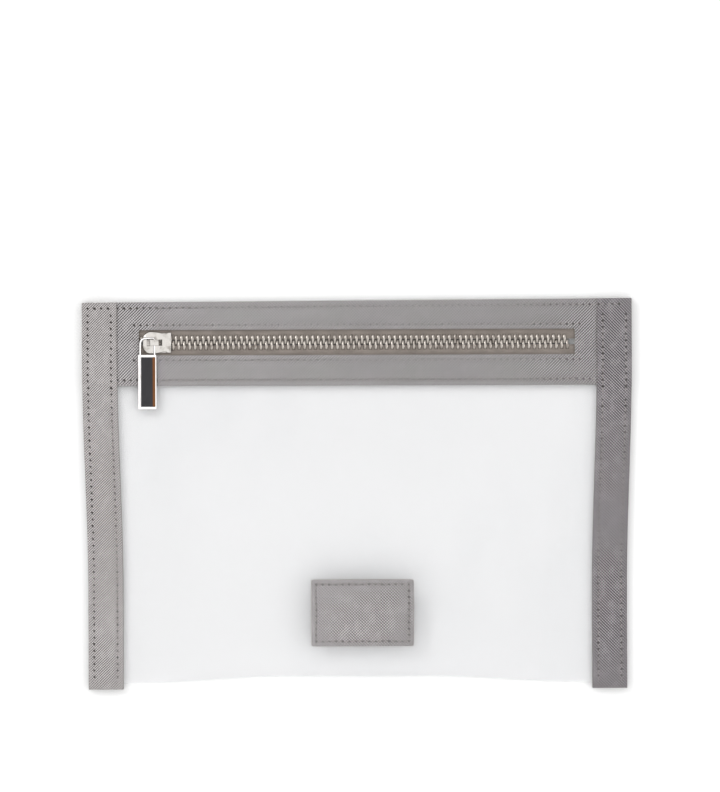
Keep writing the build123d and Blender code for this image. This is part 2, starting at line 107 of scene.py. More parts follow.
def smooth(t: float) -> float:
    """Rises from 0 to 1 with level ends."""
    t = min(max(t, 0.0), 1.0)
    return t * t * (3 - 2 * t)


def between(low: float, high: float, share: float) -> float:
    """The value that far from low to high."""
    return low + (high - low) * share


def spread(low: float, high: float, most: float) -> list[float]:
    """Evenly spaced values from low to high, at most that far apart."""
    steps = max(1, math.ceil((high - low) / most - 1e-6))
    return [between(low, high, n / steps) for n in range(steps + 1)]


@cache
def corners(node: str) -> tuple[tuple[float, ...], tuple[float, ...]]:
    """A CAD node's lowest and highest corners, looked up once."""
    lowest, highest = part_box(node)
    return tuple(lowest), tuple(highest)


def low(node: str) -> Vector:
    """A CAD node's lowest corner."""
    return Vector(corners(node)[0])


def high(node: str) -> Vector:
    """A CAD node's highest corner."""
    return Vector(corners(node)[1])


def middle(node: str) -> Vector:
    """The middle of a CAD node's box."""
    return (low(node) + high(node)) / 2


# ---- Places that several sub-assemblies share ----


@dataclass(frozen=True)
class Layout:
    """The trim's outline and the heights of the clear sheet, as the CAD model has them.

    Attributes:
        strip_width: width of a side strip.
        trim_inset: how far the inner layers stop short of the strips' outer edges.
        nose_height: height of the sheet's rounded fold at the middle.
        nose_stretch: the fold's depth over half its height.
    """

    strip_width: float = 15.2 * MM
    trim_inset: float = 0.5 * MM
    sheet_t: float = 0.5 * MM
    layer_gap: float = 0.05 * MM
    fold_inset: float = 2.3 * MM
    fold_arch: float = 3.0 * MM
    nose_height: float = 8.0 * MM
    nose_stretch: float = 1.2
    top_margin: float = 4.0 * MM
    window_length: float = 190.2 * MM
    window_height: float = 11.0 * MM

    @property
    def half_width(self) -> float:
        """Half the case's width at its top corners."""
        return high("right_front_strip").x

    @property
    def draw_in(self) -> float:
        """How much narrower each side is at the bottom."""
        size = high("right_front_strip") - low("right_front_strip")
        return size.x - self.strip_width

    @property
    def low_y(self) -> float:
        """The strips' lower ends."""
        return low("left_front_strip").y

    @property
    def band_low_y(self) -> float:
        """The zip band's lower edge."""
        return low("zip_band").y

    @property
    def leather_t(self) -> float:
        """The leather's thickness."""
        return high("zip_band").z - low("zip_band").z

    @property
    def zip_y(self) -> float:
        """The chain's centre line."""
        return middle("slider_crown").y

    @property
    def zip_z(self) -> float:
        """The tapes' middle height."""
        return middle("upper_tape").z

    @property
    def flat_half(self) -> float:
        """Half the width that is free to puff out."""
        return self.half_width - self.strip_width - self.draw_in - self.trim_inset

    def top_y(self, x: float) -> float:
        """The trim's slanted top edge at x."""
        left_x = self.strip_width - self.half_width
        left_y = high("left_front_strip").y
        right_y = high("right_front_strip").y
        return between(left_y, right_y, (x - left_x) / (self.half_width - left_x))

    def side_x(self, y: float) -> float:
        """How far out the side edges stand at y."""
        depth = self.top_y(0.0) - self.band_low_y
        from_y = self.band_low_y + 0.25 * depth
        to_y = self.low_y + 0.33 * (self.band_low_y - self.low_y)
        return self.half_width - self.draw_in * smooth((from_y - y) / (from_y - to_y))

    def inside(self, x: float, run: float) -> float:
        """0 under the strips, 1 once x is run inside them."""
        return smooth((self.flat_half - abs(x)) / run)

    def nose_at(self, x: float) -> tuple[float, float, float, float]:
        """The fold's section at x.

        Args:
            x: where the section is taken.

        Returns:
            The fold's lower Y, its depth, its half height and its lowest Z.
        """
        seat = low("left_back_strip").z + self.leather_t + self.layer_gap
        flat = (self.front_seat + self.sheet_t - seat) / 2
        half = between(flat, self.nose_height / 2, self.inside(x, 0.45 * self.flat_half))
        fold_y = self.low_y + self.fold_inset
        fold_y += self.fold_arch * self.inside(x, 0.7 * self.flat_half)
        sag = self.inside(x, self.flat_half - self.window_length / 2)
        return fold_y, half * self.nose_stretch, half, between(seat, self.layer_gap, sag)

    @property
    def front_seat(self) -> float:
        """The lower face of the clear front where it lies flat."""
        return self.zip_z - self.sheet_t / 2

    @property
    def crown_y(self) -> float:
        """Where the clear front stands highest."""
        return -0.06 * (high("clear_sheet").y - self.low_y)

    def crown_z(self, x: float) -> float:
        """The clear front's outer face at its highest line."""
        flat = self.front_seat + self.sheet_t
        top = high("clear_sheet").z
        return between(flat, top, self.inside(x, 0.45 * self.flat_half))

    def front_z(self, x: float, y: float) -> float:
        """The clear front's outer face between its highest line and the fold."""
        fold_y, depth, half, floor_z = self.nose_at(x)
        start_y = fold_y + depth
        share = smooth((y - start_y) / (self.crown_y - start_y))
        return between(floor_z + 2 * half, self.crown_z(x), share)

    def strip_top_z(self, y: float) -> float:
        """The front strips' face, which comes down off the band."""
        top = high("left_front_strip").z
        step = top - self.leather_t - low("left_front_strip").z
        return top - step * smooth((self.band_low_y - y) / (4.0 * MM))


# ---- Modelling ----


class Kind(Enum):
    """What a selection picks."""

    POINTS = "VERT"
    EDGES = "EDGE"
    FACES = "FACE"


def nothing_selected() -> None:
    """Deselect every object, in object mode."""
    if bpy.context.object and bpy.context.object.mode != "OBJECT":
        bpy.ops.object.mode_set(mode="OBJECT")
    bpy.ops.object.select_all(action="DESELECT")


class Workpiece:
    """One mesh on the bench, shaped with the modelling operators.

    Attributes:
        piece: the object that is shaped.
    """

    def __init__(self, piece: bpy.types.Object) -> None:
        """Take a piece on the bench."""
        self.piece = piece

    @classmethod
    def _fresh(cls, name: str) -> "Workpiece":
        """Name the primitive just added and apply its place."""
        piece = bpy.context.object
        piece.name = piece.data.name = name
        bpy.ops.object.transform_apply(location=True, rotation=True, scale=True)
        return cls(piece)

    @classmethod
    def block(cls, name: str, lowest: Vector, highest: Vector) -> "Workpiece":
        """Start from a box between two corners."""
        nothing_selected()
        size = Vector(highest) - Vector(lowest)
        centre = (Vector(highest) + Vector(lowest)) / 2
        bpy.ops.mesh.primitive_cube_add(size=1.0, location=centre, scale=size)
        return cls._fresh(name)

    @classmethod
    def rod(
        cls, name: str, radius: float, start: Vector, end: Vector, sides: int = 16
    ) -> "Workpiece":
        """Start from a round bar between two points."""
        nothing_selected()
        run = Vector(end) - Vector(start)
        turn = run.to_track_quat("Z", "Y").to_euler()
        centre = (Vector(start) + Vector(end)) / 2
        bpy.ops.mesh.primitive_cylinder_add(
            vertices=sides, radius=radius, depth=run.length, location=centre, rotation=turn
        )
        return cls._fresh(name)

    @classmethod
    def grid(cls, name: str, across: int, along: int) -> "Workpiece":
        """Start from a grid of that many cells, one metre square."""
        nothing_selected()
        bpy.ops.mesh.primitive_grid_add(x_subdivisions=across, y_subdivisions=along, size=1.0)
        return cls._fresh(name)

    def edit(self) -> None:
        """Enter edit mode on this piece alone."""
        nothing_selected()
        self.piece.select_set(True)
        bpy.context.view_layer.objects.active = self.piece
        bpy.ops.object.mode_set(mode="EDIT")

    def leave(self) -> None:
        """Go back to object mode."""
        bpy.ops.object.mode_set(mode="OBJECT")

    def pick(self, kind: Kind, test: Callable[[Vector, Vector], bool]) -> int:
        """Select by place and direction, in edit mode, and deselect the rest.

        Args:
            kind: points, edges or faces.
            test: takes an item's middle and its normal (an edge's direction).

        Returns:
            How many were picked.
        """
        bpy.ops.mesh.select_mode(type=kind.value)
        bpy.ops.mesh.select_all(action="DESELECT")
        mesh = bmesh.from_edit_mesh(self.piece.data)
        count = 0
        if kind is Kind.POINTS:
            items = [(v, v.co, v.normal) for v in mesh.verts]
        elif kind is Kind.EDGES:
            items = [
                (e, (e.verts[0].co + e.verts[1].co) / 2, e.verts[1].co - e.verts[0].co)
                for e in mesh.edges
            ]
        else:
            items = [(f, f.calc_center_median(), f.normal) for f in mesh.faces]
        for item, place, way in items:
            if test(place, way):
                item.select_set(True)
                count += 1
        mesh.select_flush_mode()
        bmesh.update_edit_mesh(self.piece.data)
        return count

    def cut(self, axis: Axis, places: Iterable[float]) -> None:
        """Cut new edges all round the piece, square to an axis, at each place."""
        self.edit()
        way = axis.vector()
        for place in places:
            bpy.ops.mesh.select_all(action="SELECT")
            bpy.ops.mesh.bisect(plane_co=way * place, plane_no=way)
        self.leave()

    def slide(self, test: Test, offset: Sequence[float]) -> None:
        """Move the points whose place passes a test, in edit mode."""
        if self.pick(Kind.POINTS, lambda place, _: test(place)):
            bpy.ops.transform.translate(value=tuple(offset))

    def round_edges(
        self, width: float, segments: int, test: Callable[[Vector, Vector], bool]
    ) -> None:
        """Round the edges that pass a test."""
        self.edit()
        if self.pick(Kind.EDGES, test):
            bpy.ops.mesh.bevel(offset=width, segments=segments, affect="EDGES", profile=0.5)
        self.leave()

    def modify(self, kind: str, **settings: object) -> None:
        """Add a modifier with these settings and apply it."""
        nothing_selected()
        self.piece.select_set(True)
        bpy.context.view_layer.objects.active = self.piece
        modifier = self.piece.modifiers.new(kind.title(), kind)
        for name, value in settings.items():
            setattr(modifier, name, value)
        bpy.ops.object.modifier_apply(modifier=modifier.name)

    def soften(self, width: float, segments: int = 3, sharper: float = 40.0) -> None:
        """Round every edge that turns by more than some degrees, and shade smoothly."""
        self.modify(
            "BEVEL",
            width=width,
            segments=segments,
            limit_method="ANGLE",
            angle_limit=math.radians(sharper),
            use_clamp_overlap=True,
            miter_outer="MITER_ARC",
        )
        self.shade()

    def shade(self, angle: float = 50.0) -> None:
        """Shade smoothly across turns under this many degrees."""
        nothing_selected()
        self.piece.select_set(True)
        bpy.context.view_layer.objects.active = self.piece
        bpy.ops.object.shade_smooth_by_angle(angle=math.radians(angle))

    def outward(self) -> None:
        """Merge doubles and point every face outwards."""
        self.edit()
        bpy.ops.mesh.select_all(action="SELECT")
        bpy.ops.mesh.remove_doubles(threshold=0.002 * MM)
        bpy.ops.mesh.normals_make_consistent(inside=False)
        self.leave()

    def window(self, lowest: Vector, highest: Vector) -> None:
        """Cut a square window through a plate, between two corners seen from the front."""
        self.cut(Axis.X, (lowest.x, highest.x))
        self.cut(Axis.Y, (lowest.y, highest.y))
        self.edit()

        def in_window(place: Vector, way: Vector) -> bool:
            """True for the plate's two faces inside the window."""
            across = lowest.x < place.x < highest.x
            return across and lowest.y < place.y < highest.y and abs(way.z) > 0.9

        self.pick(Kind.FACES, in_window)
        bpy.ops.mesh.delete(type="FACE")
        bpy.ops.mesh.select_mode(type="EDGE")
        bpy.ops.mesh.select_all(action="DESELECT")
        bpy.ops.mesh.select_non_manifold()
        bpy.ops.mesh.bridge_edge_loops()
        self.leave()
        self.outward()


def joined(name: str, parts: Sequence[bpy.types.Object]) -> bpy.types.Object:
    """Join objects into one piece."""
    nothing_selected()
    for part in parts:
        part.select_set(True)
    bpy.context.view_layer.objects.active = parts[0]
    if len(parts) > 1:
        bpy.ops.object.join()
    piece = bpy.context.view_layer.objects.active
    piece.name = piece.data.name = name
    return piece


def repeated(
    name: str, model: bpy.types.Object, places: Sequence[Matrix]
) -> bpy.types.Object:
    """Copy a model to each place, each copy with its own mesh, as one piece.

    Args:
        name: the piece's name.
        model: the piece that repeats, modelled round the origin. It is removed.
        places: where each copy goes.

    Returns:
        The joined piece.
    """
    copies = []
    for place in places:
        copy = model.copy()
        copy.data = model.data.copy()
        copy.data.transform(place)
        bpy.context.scene.collection.objects.link(copy)
        copies.append(copy)
    bpy.data.objects.remove(model)
    return joined(name, copies)


def fit(
    piece: bpy.types.Object,
    body: Body,
    finishes: Sequence[bpy.types.Material],
    stands_for: Sequence[str] = (),
) -> None:
    """Dress a finished piece, hang it on its body and hide the CAD nodes that it stands for.

    Args:
        piece: the finished piece.
        body: what it rides on.
        finishes: its materials, which its faces already index.
        stands_for: the CAD nodes that it replaces.
    """
    kept = [polygon.material_index for polygon in piece.data.polygons]
    piece.data.materials.clear()
    for finish in finishes:
        piece.data.materials.append(finish)
    for polygon, index in zip(piece.data.polygons, kept):
        polygon.material_index = min(index, len(finishes) - 1)
    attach(piece, body.value)
    if stands_for:
        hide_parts(*stands_for)
    LOG.info("%s: %d faces on %s", piece.name, len(piece.data.polygons), body.value)


def paint_rim(piece: bpy.types.Object, level: float = 0.6) -> None:
    """Give a leather piece's cut edges its second material."""
    for polygon in piece.data.polygons:
        polygon.material_index = 1 if abs(polygon.normal.z) < level else 0


# ---- Finishes ----


class Amount:
    """A number that varies over a surface. Python's operators add its Math nodes."""

    def __init__(self, recipe: "Recipe", socket: bpy.types.NodeSocket) -> None:
        """Wrap one output socket."""
        self.recipe = recipe
        self.socket = socket

    def maths(self, operation: str, *values: "Amount | float") -> "Amount":
        """The outcome of a Math node on these values."""
        inputs = dict(enumerate(values))
        node = self.recipe.node("ShaderNodeMath", {"operation": operation}, inputs)
        return Amount(self.recipe, node.outputs[0])

    def __add__(self, other: "Amount | float") -> "Amount":
        """Self plus other."""
        return self.maths("ADD", self, other)

    def __sub__(self, other: "Amount | float") -> "Amount":
        """Self minus other."""
        return self.maths("SUBTRACT", self, other)

    def __rsub__(self, other: float) -> "Amount":
        """Other minus self."""
        return self.maths("SUBTRACT", other, self)

    def __mul__(self, other: "Amount | float") -> "Amount":
        """Self times other."""
        return self.maths("MULTIPLY", self, other)

    def __pow__(self, other: float) -> "Amount":
        """Self to the power of other."""
        return self.maths("POWER", self, other)

    __radd__ = __add__
    __rmul__ = __mul__

    def sine(self) -> "Amount":
        """The sine of self, from 0 to 1."""
        return self.maths("SINE", self) * 0.5 + 0.5

    def rising(self, start: float, end: float) -> "Amount":
        """0 at start and 1 at end, with level ends."""
        node = self.recipe.node(
            "ShaderNodeMapRange",
            {"interpolation_type": "SMOOTHSTEP"},
            {"Value": self, "From Min": start, "From Max": end},
        )
        return Amount(self.recipe, node.outputs[0])


class Recipe:
    """A material that is being mixed."""

    def __init__(self, name: str) -> None:
        """Start a material with one Principled shader."""
        self.material = bpy.data.materials.new(name)
        self.material.use_nodes = True
        self.tree = self.material.node_tree
        self.tree.nodes.clear()
        self.output = self.node("ShaderNodeOutputMaterial")
        self.shader = self.node("ShaderNodeBsdfPrincipled")
        self.tree.links.new(self.shader.outputs[0], self.output.inputs["Surface"])

    def node(
        self, kind: str, settings: dict | None = None, inputs: dict | None = None
    ) -> bpy.types.Node:
        """Add a node.

        Args:
            kind: the node's type.
            settings: its settings, which are set first.
            inputs: values or links of its sockets, by name or number.

        Returns:
            The new node.
        """
        node = self.tree.nodes.new(kind)
        for name, value in (settings or {}).items():
            setattr(node, name, value)
        for key, value in (inputs or {}).items():
            self.feed(node.inputs[key], value)
        return node

    def feed(self, socket: bpy.types.NodeSocket, value: object) -> None:
        """Link a socket or set its value."""
        source = value.socket if isinstance(value, Amount) else value
        if isinstance(source, bpy.types.NodeSocket):
            self.tree.links.new(source, socket)
        else:
            socket.default_value = source

    def place(self) -> tuple[Amount, Amount, Amount]:
        """Object coordinates as three numbers, in metres."""
        where = self.node("ShaderNodeTexCoord").outputs["Object"]
        split = self.node("ShaderNodeSeparateXYZ", None, {0: where})
        x, y, z = (Amount(self, output) for output in split.outputs)
        return x, y, z

    def noise(self, scale: float, detail: float = 2.0, stretch: Colour = (1, 1, 1)) -> Amount:
        """Soft noise with features about 1 / scale metres wide."""
        where = self.node("ShaderNodeTexCoord").outputs["Object"]
        mapped = self.node("ShaderNodeMapping", None, {"Vector": where, "Scale": stretch})
        inputs = {"Vector": mapped.outputs[0], "Scale": scale, "Detail": detail}
        noise = self.node("ShaderNodeTexNoise", None, inputs)
        return Amount(self, noise.outputs[0])

    def mix(self, share: Amount, first: object, second: object) -> bpy.types.NodeSocket:
        """A colour between two colours."""
        colours = [self._whole(c) for c in (first, second)]
        inputs = {0: share, 6: colours[0], 7: colours[1]}
        return self.node("ShaderNodeMix", {"data_type": "RGBA"}, inputs).outputs[2]

    def _whole(self, colour: object) -> object:
        """A colour with its alpha, or a socket as it is."""
        return colour if isinstance(colour, bpy.types.NodeSocket) else (*colour, 1.0)

    def bump(self, height: Amount, depth: float) -> None:
        """Let a height shape the surface's normal, depth metres deep."""
        inputs = {"Height": height, "Distance": depth, "Strength": 1.0}
        self.set(Normal=self.node("ShaderNodeBump", None, inputs).outputs[0])

    def set(self, **values: object) -> None:
        """Feed the shader's sockets, named with _ for spaces."""
        for name, value in values.items():
            self.feed(self.shader.inputs[name.replace("_", " ")], value)


@dataclass(frozen=True)
class Saffiano:
    """Leather pressed with two crossing sets of fine lines.

    Attributes:
        colour: the ridges' colour.
        painted_groove_shade: the colour in the pressed lines, a painted shade in these recesses.
        pitch: from one line to the next.
        rising: how deep the lines that rise to the right are, from 0 to 1.
        falling: how deep the other set is.
    """

    name: str
    colour: Colour
    painted_groove_shade: Colour
    pitch: float = 0.92 * MM
    rising: float = 1.0
    falling: float = 0.6
    depth: float = 0.16 * MM

    def make(self) -> bpy.types.Material:
        """Mix the leather."""
        recipe = Recipe(self.name)
        x, y, _ = recipe.place()
        turn = 2 * math.pi / (self.pitch * math.sqrt(2))
        wander = recipe.noise(140.0, 1.0) * 2.2
        stray = recipe.noise(90.0, 1.0, (1.0, 1.3, 1.0)) * 2.6
        patches = recipe.noise(260.0, 1.0, (1.2, 0.8, 1.0))
        up = ((x - y) * turn + wander).sine()
        down = ((x + y) * turn + stray).sine()
        up_share = patches.rising(0.66, 0.44) * 0.3 + 0.7
        down_share = patches.rising(0.3, 0.62) * 0.45 + 0.55
        # Where the lines are pressed in, the colour turns dark: painted shade in the recesses.
        # Their roughness and bump are the leather's own.
        grooves = (1 - up) * up_share * self.rising + (1 - down) * down_share * self.falling
        grain = recipe.noise(2600.0, 2.0)
        clouds = recipe.noise(22.0, 3.0)
        # The x * 0.5 term is painted shade: it darkens every leather piece steadily towards the
        # right of the case and lightens it towards the left.
        dark = grooves * 0.85 + (grain - 0.5) * 0.5 + (clouds - 0.5) * 0.14 + x * 0.5
        recipe.set(
            Base_Color=recipe.mix(dark.rising(0.05, 0.9), self.colour, self.painted_groove_shade),
            Roughness=0.42 + grooves * 0.16,
            Specular_IOR_Level=0.25,
        )
        recipe.bump(1 - grooves * 0.75 + grain * 0.15, self.depth)
        return recipe.material


@dataclass(frozen=True)
class EdgePaint:
    """The sealed cut edge of the leather, slightly uneven."""

    name: str
    colour: Colour
    core: Colour

    def make(self) -> bpy.types.Material:
        """Mix the edge paint."""
        recipe = Recipe(self.name)
        streaks = recipe.noise(700.0, 2.0, (1.0, 1.0, 3.0))
        clouds = recipe.noise(60.0, 2.0)
        share = (streaks * 0.6 + clouds * 0.4).rising(0.38, 0.62)
        recipe.set(
            Base_Color=recipe.mix(share, self.colour, self.core),
            Roughness=0.38 + streaks * 0.2,
        )
        recipe.bump(streaks, 0.05 * MM)
        return recipe.material


@dataclass(frozen=True)
class ClearPlastic:
    """Soft clear plastic film: nearly all see-through, milkier seen edge on."""

    name: str = "clear_plastic"
    colour: Colour = (0.88, 0.885, 0.905)
    open_alpha: float = 0.08

    def make(self) -> bpy.types.Material:
        """Mix the plastic."""
        recipe = Recipe(self.name)
        facing = recipe.node("ShaderNodeLayerWeight", None, {"Blend": 0.25}).outputs["Facing"]
        haze = recipe.noise(14.0, 2.0, (1.0, 0.5, 1.0))
        alpha = self.open_alpha + Amount(recipe, facing) ** 2.0 * 0.4
        alpha += haze.rising(0.45, 0.7) * 0.03
        recipe.set(
            Base_Color=recipe.mix(haze, self.colour, tuple(c * 1.08 for c in self.colour)),
            Roughness=0.06 + haze * 0.06,
            Alpha=alpha,
            IOR=1.48,
            Specular_IOR_Level=0.6,
        )
        ripples = recipe.noise(55.0, 2.0, (1.0, 2.2, 1.0))
        recipe.bump(ripples, 0.12 * MM)
        return recipe.material


@dataclass(frozen=True)
class Weave:
    """Plain or twilled cloth from crossing yarns.

    Attributes:
        pitch: from one yarn to the next.
        slant: how far a twill's lines lean, 0 for a plain weave.
    """

    name: str
    light: Colour
    dark: Colour
    pitch: float
    slant: float = 0.0
    depth: float = 0.1 * MM

    def make(self) -> bpy.types.Material:
        """Mix the cloth."""
        recipe = Recipe(self.name)
        x, y, _ = recipe.place()
        turn = 2 * math.pi / self.pitch
        slub = recipe.noise(500.0, 2.0, (0.3, 1.0, 1.0))
        warp = ((x + y * self.slant) * turn + slub * 1.5).sine()
        weft = ((y - x * self.slant) * turn + slub * 1.5).sine()
        crossed = warp * weft + (1 - warp) * (1 - weft)
        fuzz = recipe.noise(5200.0, 2.0)
        shade = (crossed * 0.8 + (fuzz - 0.5) * 0.6 + (slub - 0.5) * 0.6).rising(0.0, 0.9)
        recipe.set(
            Base_Color=recipe.mix(shade, self.dark, self.light),
            Roughness=0.95 - crossed * 0.15,
            Sheen_Weight=0.25,
            Specular_IOR_Level=0.2,
        )
        recipe.bump(crossed + fuzz * 0.3, self.depth)
        return recipe.material


@dataclass(frozen=True)
class Metal:
    """Plated metal with fine handling marks.

    Attributes:
        colour: its reflected colour.
        polish: its least roughness.
        tarnish: its colour where it is dull.
    """

    name: str
    colour: Colour
    tarnish: Colour
    polish: float = 0.12

    def make(self) -> bpy.types.Material:
        """Mix the metal."""
        recipe = Recipe(self.name)
        marks = recipe.noise(900.0, 3.0, (1.0, 6.0, 1.0))
        dull = recipe.noise(260.0, 2.0)
        recipe.set(
            Base_Color=recipe.mix(dull.rising(0.5, 0.75) * 0.7, self.colour, self.tarnish),
            Metallic=1.0,
            Roughness=marks * 0.14 + dull * 0.08 + (self.polish - 0.08),
        )
        recipe.bump(marks, 0.006 * MM)
        return recipe.material


@dataclass(frozen=True)
class DarkMirror:
    """The near-black glossy panel of the pull."""

    name: str = "pull_dark_mirror"
    colour: Colour = (0.018, 0.017, 0.019)

    def make(self) -> bpy.types.Material:
        """Mix the mirror."""
        recipe = Recipe(self.name)
        smears = recipe.noise(240.0, 3.0, (1.0, 0.4, 1.0))
        recipe.set(
            Base_Color=recipe.mix(smears, self.colour, tuple(2.2 * c for c in self.colour)),
            Roughness=0.05 + smears * 0.08,
            Specular_IOR_Level=0.15,
            Coat_Weight=0.05,
        )
        recipe.bump(smears, 0.01 * MM)
        return recipe.material


@dataclass(frozen=True)
class SewingThread:
    """Twisted thread, or with a dark colour the shaded inside of a needle hole."""

    name: str
    colour: Colour
    shade: Colour

    def make(self) -> bpy.types.Material:
        """Mix the thread."""
        recipe = Recipe(self.name)
        x, y, z = recipe.place()
        twist = ((x + y * 0.7 + z) * (2 * math.pi / (0.28 * MM))).sine()
        fuzz = recipe.noise(3000.0, 2.0)
        recipe.set(
            Base_Color=recipe.mix(twist * 0.7 + fuzz * 0.3, self.shade, self.colour),
            Roughness=0.62 + fuzz * 0.2,
            Sheen_Weight=0.3,
        )
        recipe.bump(twist + fuzz * 0.4, 0.04 * MM)
        return recipe.material


@dataclass
class Finishes:
    """Every material, mixed once."""

    def __post_init__(self) -> None:
        """Mix them."""
        grey = (0.56, 0.535, 0.54)
        # The dark colour in the pressed lines of the band and label is painted shade.
        painted_groove_shade = (0.06, 0.055, 0.055)
        self.band = Saffiano("saffiano_band", grey, painted_groove_shade, falling=0.45).make()
        # The left strip's leather is a lighter copy and the right strip's a darker copy of the
        # band's grey: painted light on the left strip and painted shade on the right strip.
        self.strips = {
            Side.LEFT: Saffiano(
                "saffiano_light",
                (0.62, 0.59, 0.585),
                (0.10, 0.09, 0.088),
                pitch=0.82 * MM,
                falling=0.5,
            ).make(),
            Side.RIGHT: Saffiano(
                "saffiano_dark",
                (0.42, 0.395, 0.41),
                (0.04, 0.035, 0.038),
                rising=0.45,
                falling=0.95,
            ).make(),
        }
        self.label = Saffiano(
            "saffiano_label", grey, painted_groove_shade, pitch=0.9 * MM, rising=0.6, falling=0.75
        ).make()
        self.edge = EdgePaint("edge_paint", (0.30, 0.285, 0.26), (0.22, 0.20, 0.17)).make()
        self.label_edge = EdgePaint(
            "label_edge_paint", (0.46, 0.38, 0.30), (0.36, 0.30, 0.25)
        ).make()
        self.plastic = ClearPlastic().make()
        self.lining = Weave(
            "lining_cloth", (0.36, 0.33, 0.30), (0.20, 0.18, 0.16), pitch=0.55 * MM
        ).make()
        self.tape = Weave(
            "zip_tape_twill",
            (0.33, 0.29, 0.26),
            (0.13, 0.11, 0.095),
            pitch=0.62 * MM,
            slant=0.55,
        ).make()
        self.teeth = Metal("nickel_teeth", (0.36, 0.33, 0.30), (0.12, 0.10, 0.085), 0.16).make()
        self.slider = Metal(
            "nickel_slider", (0.52, 0.50, 0.475), (0.2, 0.185, 0.165), 0.10
        ).make()
        self.pull = Metal("polished_pull", (0.88, 0.865, 0.86), (0.66, 0.63, 0.61), 0.08).make()
        self.mirror = DarkMirror().make()
        self.copper = Metal(
            "copper_tone_edge", (0.15, 0.065, 0.028), (0.09, 0.04, 0.02), 0.22
        ).make()
        self.thread = SewingThread(
            "grey_thread", (0.47, 0.43, 0.425), (0.32, 0.29, 0.285)
        ).make()
        # The needle holes' near-black finish is painted shade for the inside of each hole.
        self.hole = SewingThread(
            "needle_hole", (0.028, 0.02, 0.016), (0.012, 0.009, 0.008)
        ).make()


# ---- Clear sheet ----


@dataclass
class ClearSheet:
    """The one sheet that makes the back, the rounded fold and the front of the pouch.

    Attributes:
        film: how thick it is.
        across: cells across the case.
        fold_steps: points round the fold.
        ripple: height of the soft creases beside the fold.
    """

    layout: Layout
    film: float = 0.45 * MM
    across: int = 110
    fold_steps: int = 14
    ripple: float = 0.16 * MM
    wave: float = 0.3 * MM

    def profile(self, x: float) -> list[tuple[float, float]]:
        """The sheet's middle line at x, from the lip down the back and up the front.

        Args:
            x: where the section is taken.

        Returns:
            Its points as (y, z).
        """
        layout = self.layout
        half_t = layout.sheet_t / 2
        fold_y, depth, half, floor_z = layout.nose_at(x)
        seat = low("left_back_strip").z + layout.leather_t + layout.layer_gap + half_t
        rightward = smooth(x / layout.half_width + 0.4)
        lip_y = between(layout.top_y(x), high("clear_sheet").y, rightward)
        drop_y = layout.top_y(0.0) - layout.top_margin
        flat_y = layout.zip_y + layout.window_height / 2
        centre_y = fold_y + depth
        points = [(between(lip_y, drop_y, step / 3), seat) for step in range(4)]
        for y in spread(flat_y, drop_y, 1.5 * MM)[:-1][::-1]:
            share = smooth((drop_y - y) / (drop_y - flat_y))
            points.append((y, between(seat, floor_z + half_t, share)))
        for step in range(1, 30):
            points.append((between(flat_y, centre_y, step / 29), floor_z + half_t))
        for step in range(1, self.fold_steps + 1):
            turn = math.pi * step / self.fold_steps
            y = centre_y - (depth - half_t) * math.sin(turn)
            points.append((y, floor_z + half - (half - half_t) * math.cos(turn)))
        for step in range(1, 41):
            y = between(centre_y, layout.crown_y, step / 40)
            points.append((y, layout.front_z(x, y) - half_t))
        end_y = layout.band_low_y - 1.0 * MM
        for step in range(1, 31):
            share = step / 30
            y = between(layout.crown_y, end_y, share)
            flat = layout.front_seat + half_t
            points.append((y, between(layout.crown_z(x) - half_t, flat, smooth(share))))
        points += [(y, points[-1][1]) for y in spread(end_y, end_y + 7.0 * MM, 2.4 * MM)[1:]]
        return points

    def creases(self, x: float, y: float) -> float:
        """How far soft creases lift or sink the free front at a place."""
        layout = self.layout
        free = layout.inside(x, 14.0 * MM)
        up = y - layout.nose_at(x)[0]
        beside_fold = smooth((up - 3.0 * MM) / (2.0 * MM))
        beside_fold *= smooth((13.0 * MM - up) / (4.0 * MM))
        lines = math.sin(2 * math.pi * (up / (3.1 * MM) + 0.35 * math.sin(x / (31 * MM))))
        slow = math.sin(x / (37 * MM) + 1.1) * math.sin(y / (29 * MM) - x / (90 * MM))
        under_band = layout.band_low_y - 6 * MM - y
        over = smooth((up - 12.0 * MM) / (20.0 * MM)) * smooth(under_band / (20 * MM))
        return free * (self.ripple * beside_fold * lines + self.wave * over * slow)

    def pattern(self, edge: list[tuple[float, float]]) -> tuple[float, float, float]:
        """The cut of the sheet, from the line of its flat, sewn side.

        Args:
            edge: the sheet's middle line at its side, as (y, z).

        Returns:
            The cut's width, length and area.
        """
        width = length = area = 0.0
        for here, there in zip(edge, edge[1:]):
            step = math.dist(here, there)
            across = 2 * (self.layout.side_x((here[0] + there[0]) / 2) - self.layout.trim_inset)
            width = max(width, across)
            length += step
            area += step * across
        return width, length, area

    def build(self, finish: bpy.types.Material) -> bpy.types.Object:
        """Shape the sheet from a grid, give it its thickness and dress it."""
        layout = self.layout
        half_width = layout.half_width - layout.trim_inset
        profiles = [
            self.profile((2 * column / self.across - 1) * half_width)
            for column in range(self.across + 1)
        ]
        rows = len(profiles[0]) - 1
        work = Workpiece.grid("clear_film", self.across, rows)
        on_front = rows - 74
        for vertex in work.piece.data.vertices:
            share = vertex.co.x * 2
            row = round((0.5 - vertex.co.y) * rows)
            y, z = profiles[round((0.5 + vertex.co.x) * self.across)][row]
            x = share * (layout.side_x(y) - layout.trim_inset)
            if row > on_front:
                z += self.creases(x, y)
            vertex.co = (x, y, z)
        work.modify("SOLIDIFY", thickness=self.film, offset=0.0)
        work.outward()
        work.shade(80.0)
        fit(work.piece, Body.CASE, [finish], ["clear_sheet"])
        width, length, flat_area = self.pattern(profiles[0])
        return work.piece


# ---- Leather ----


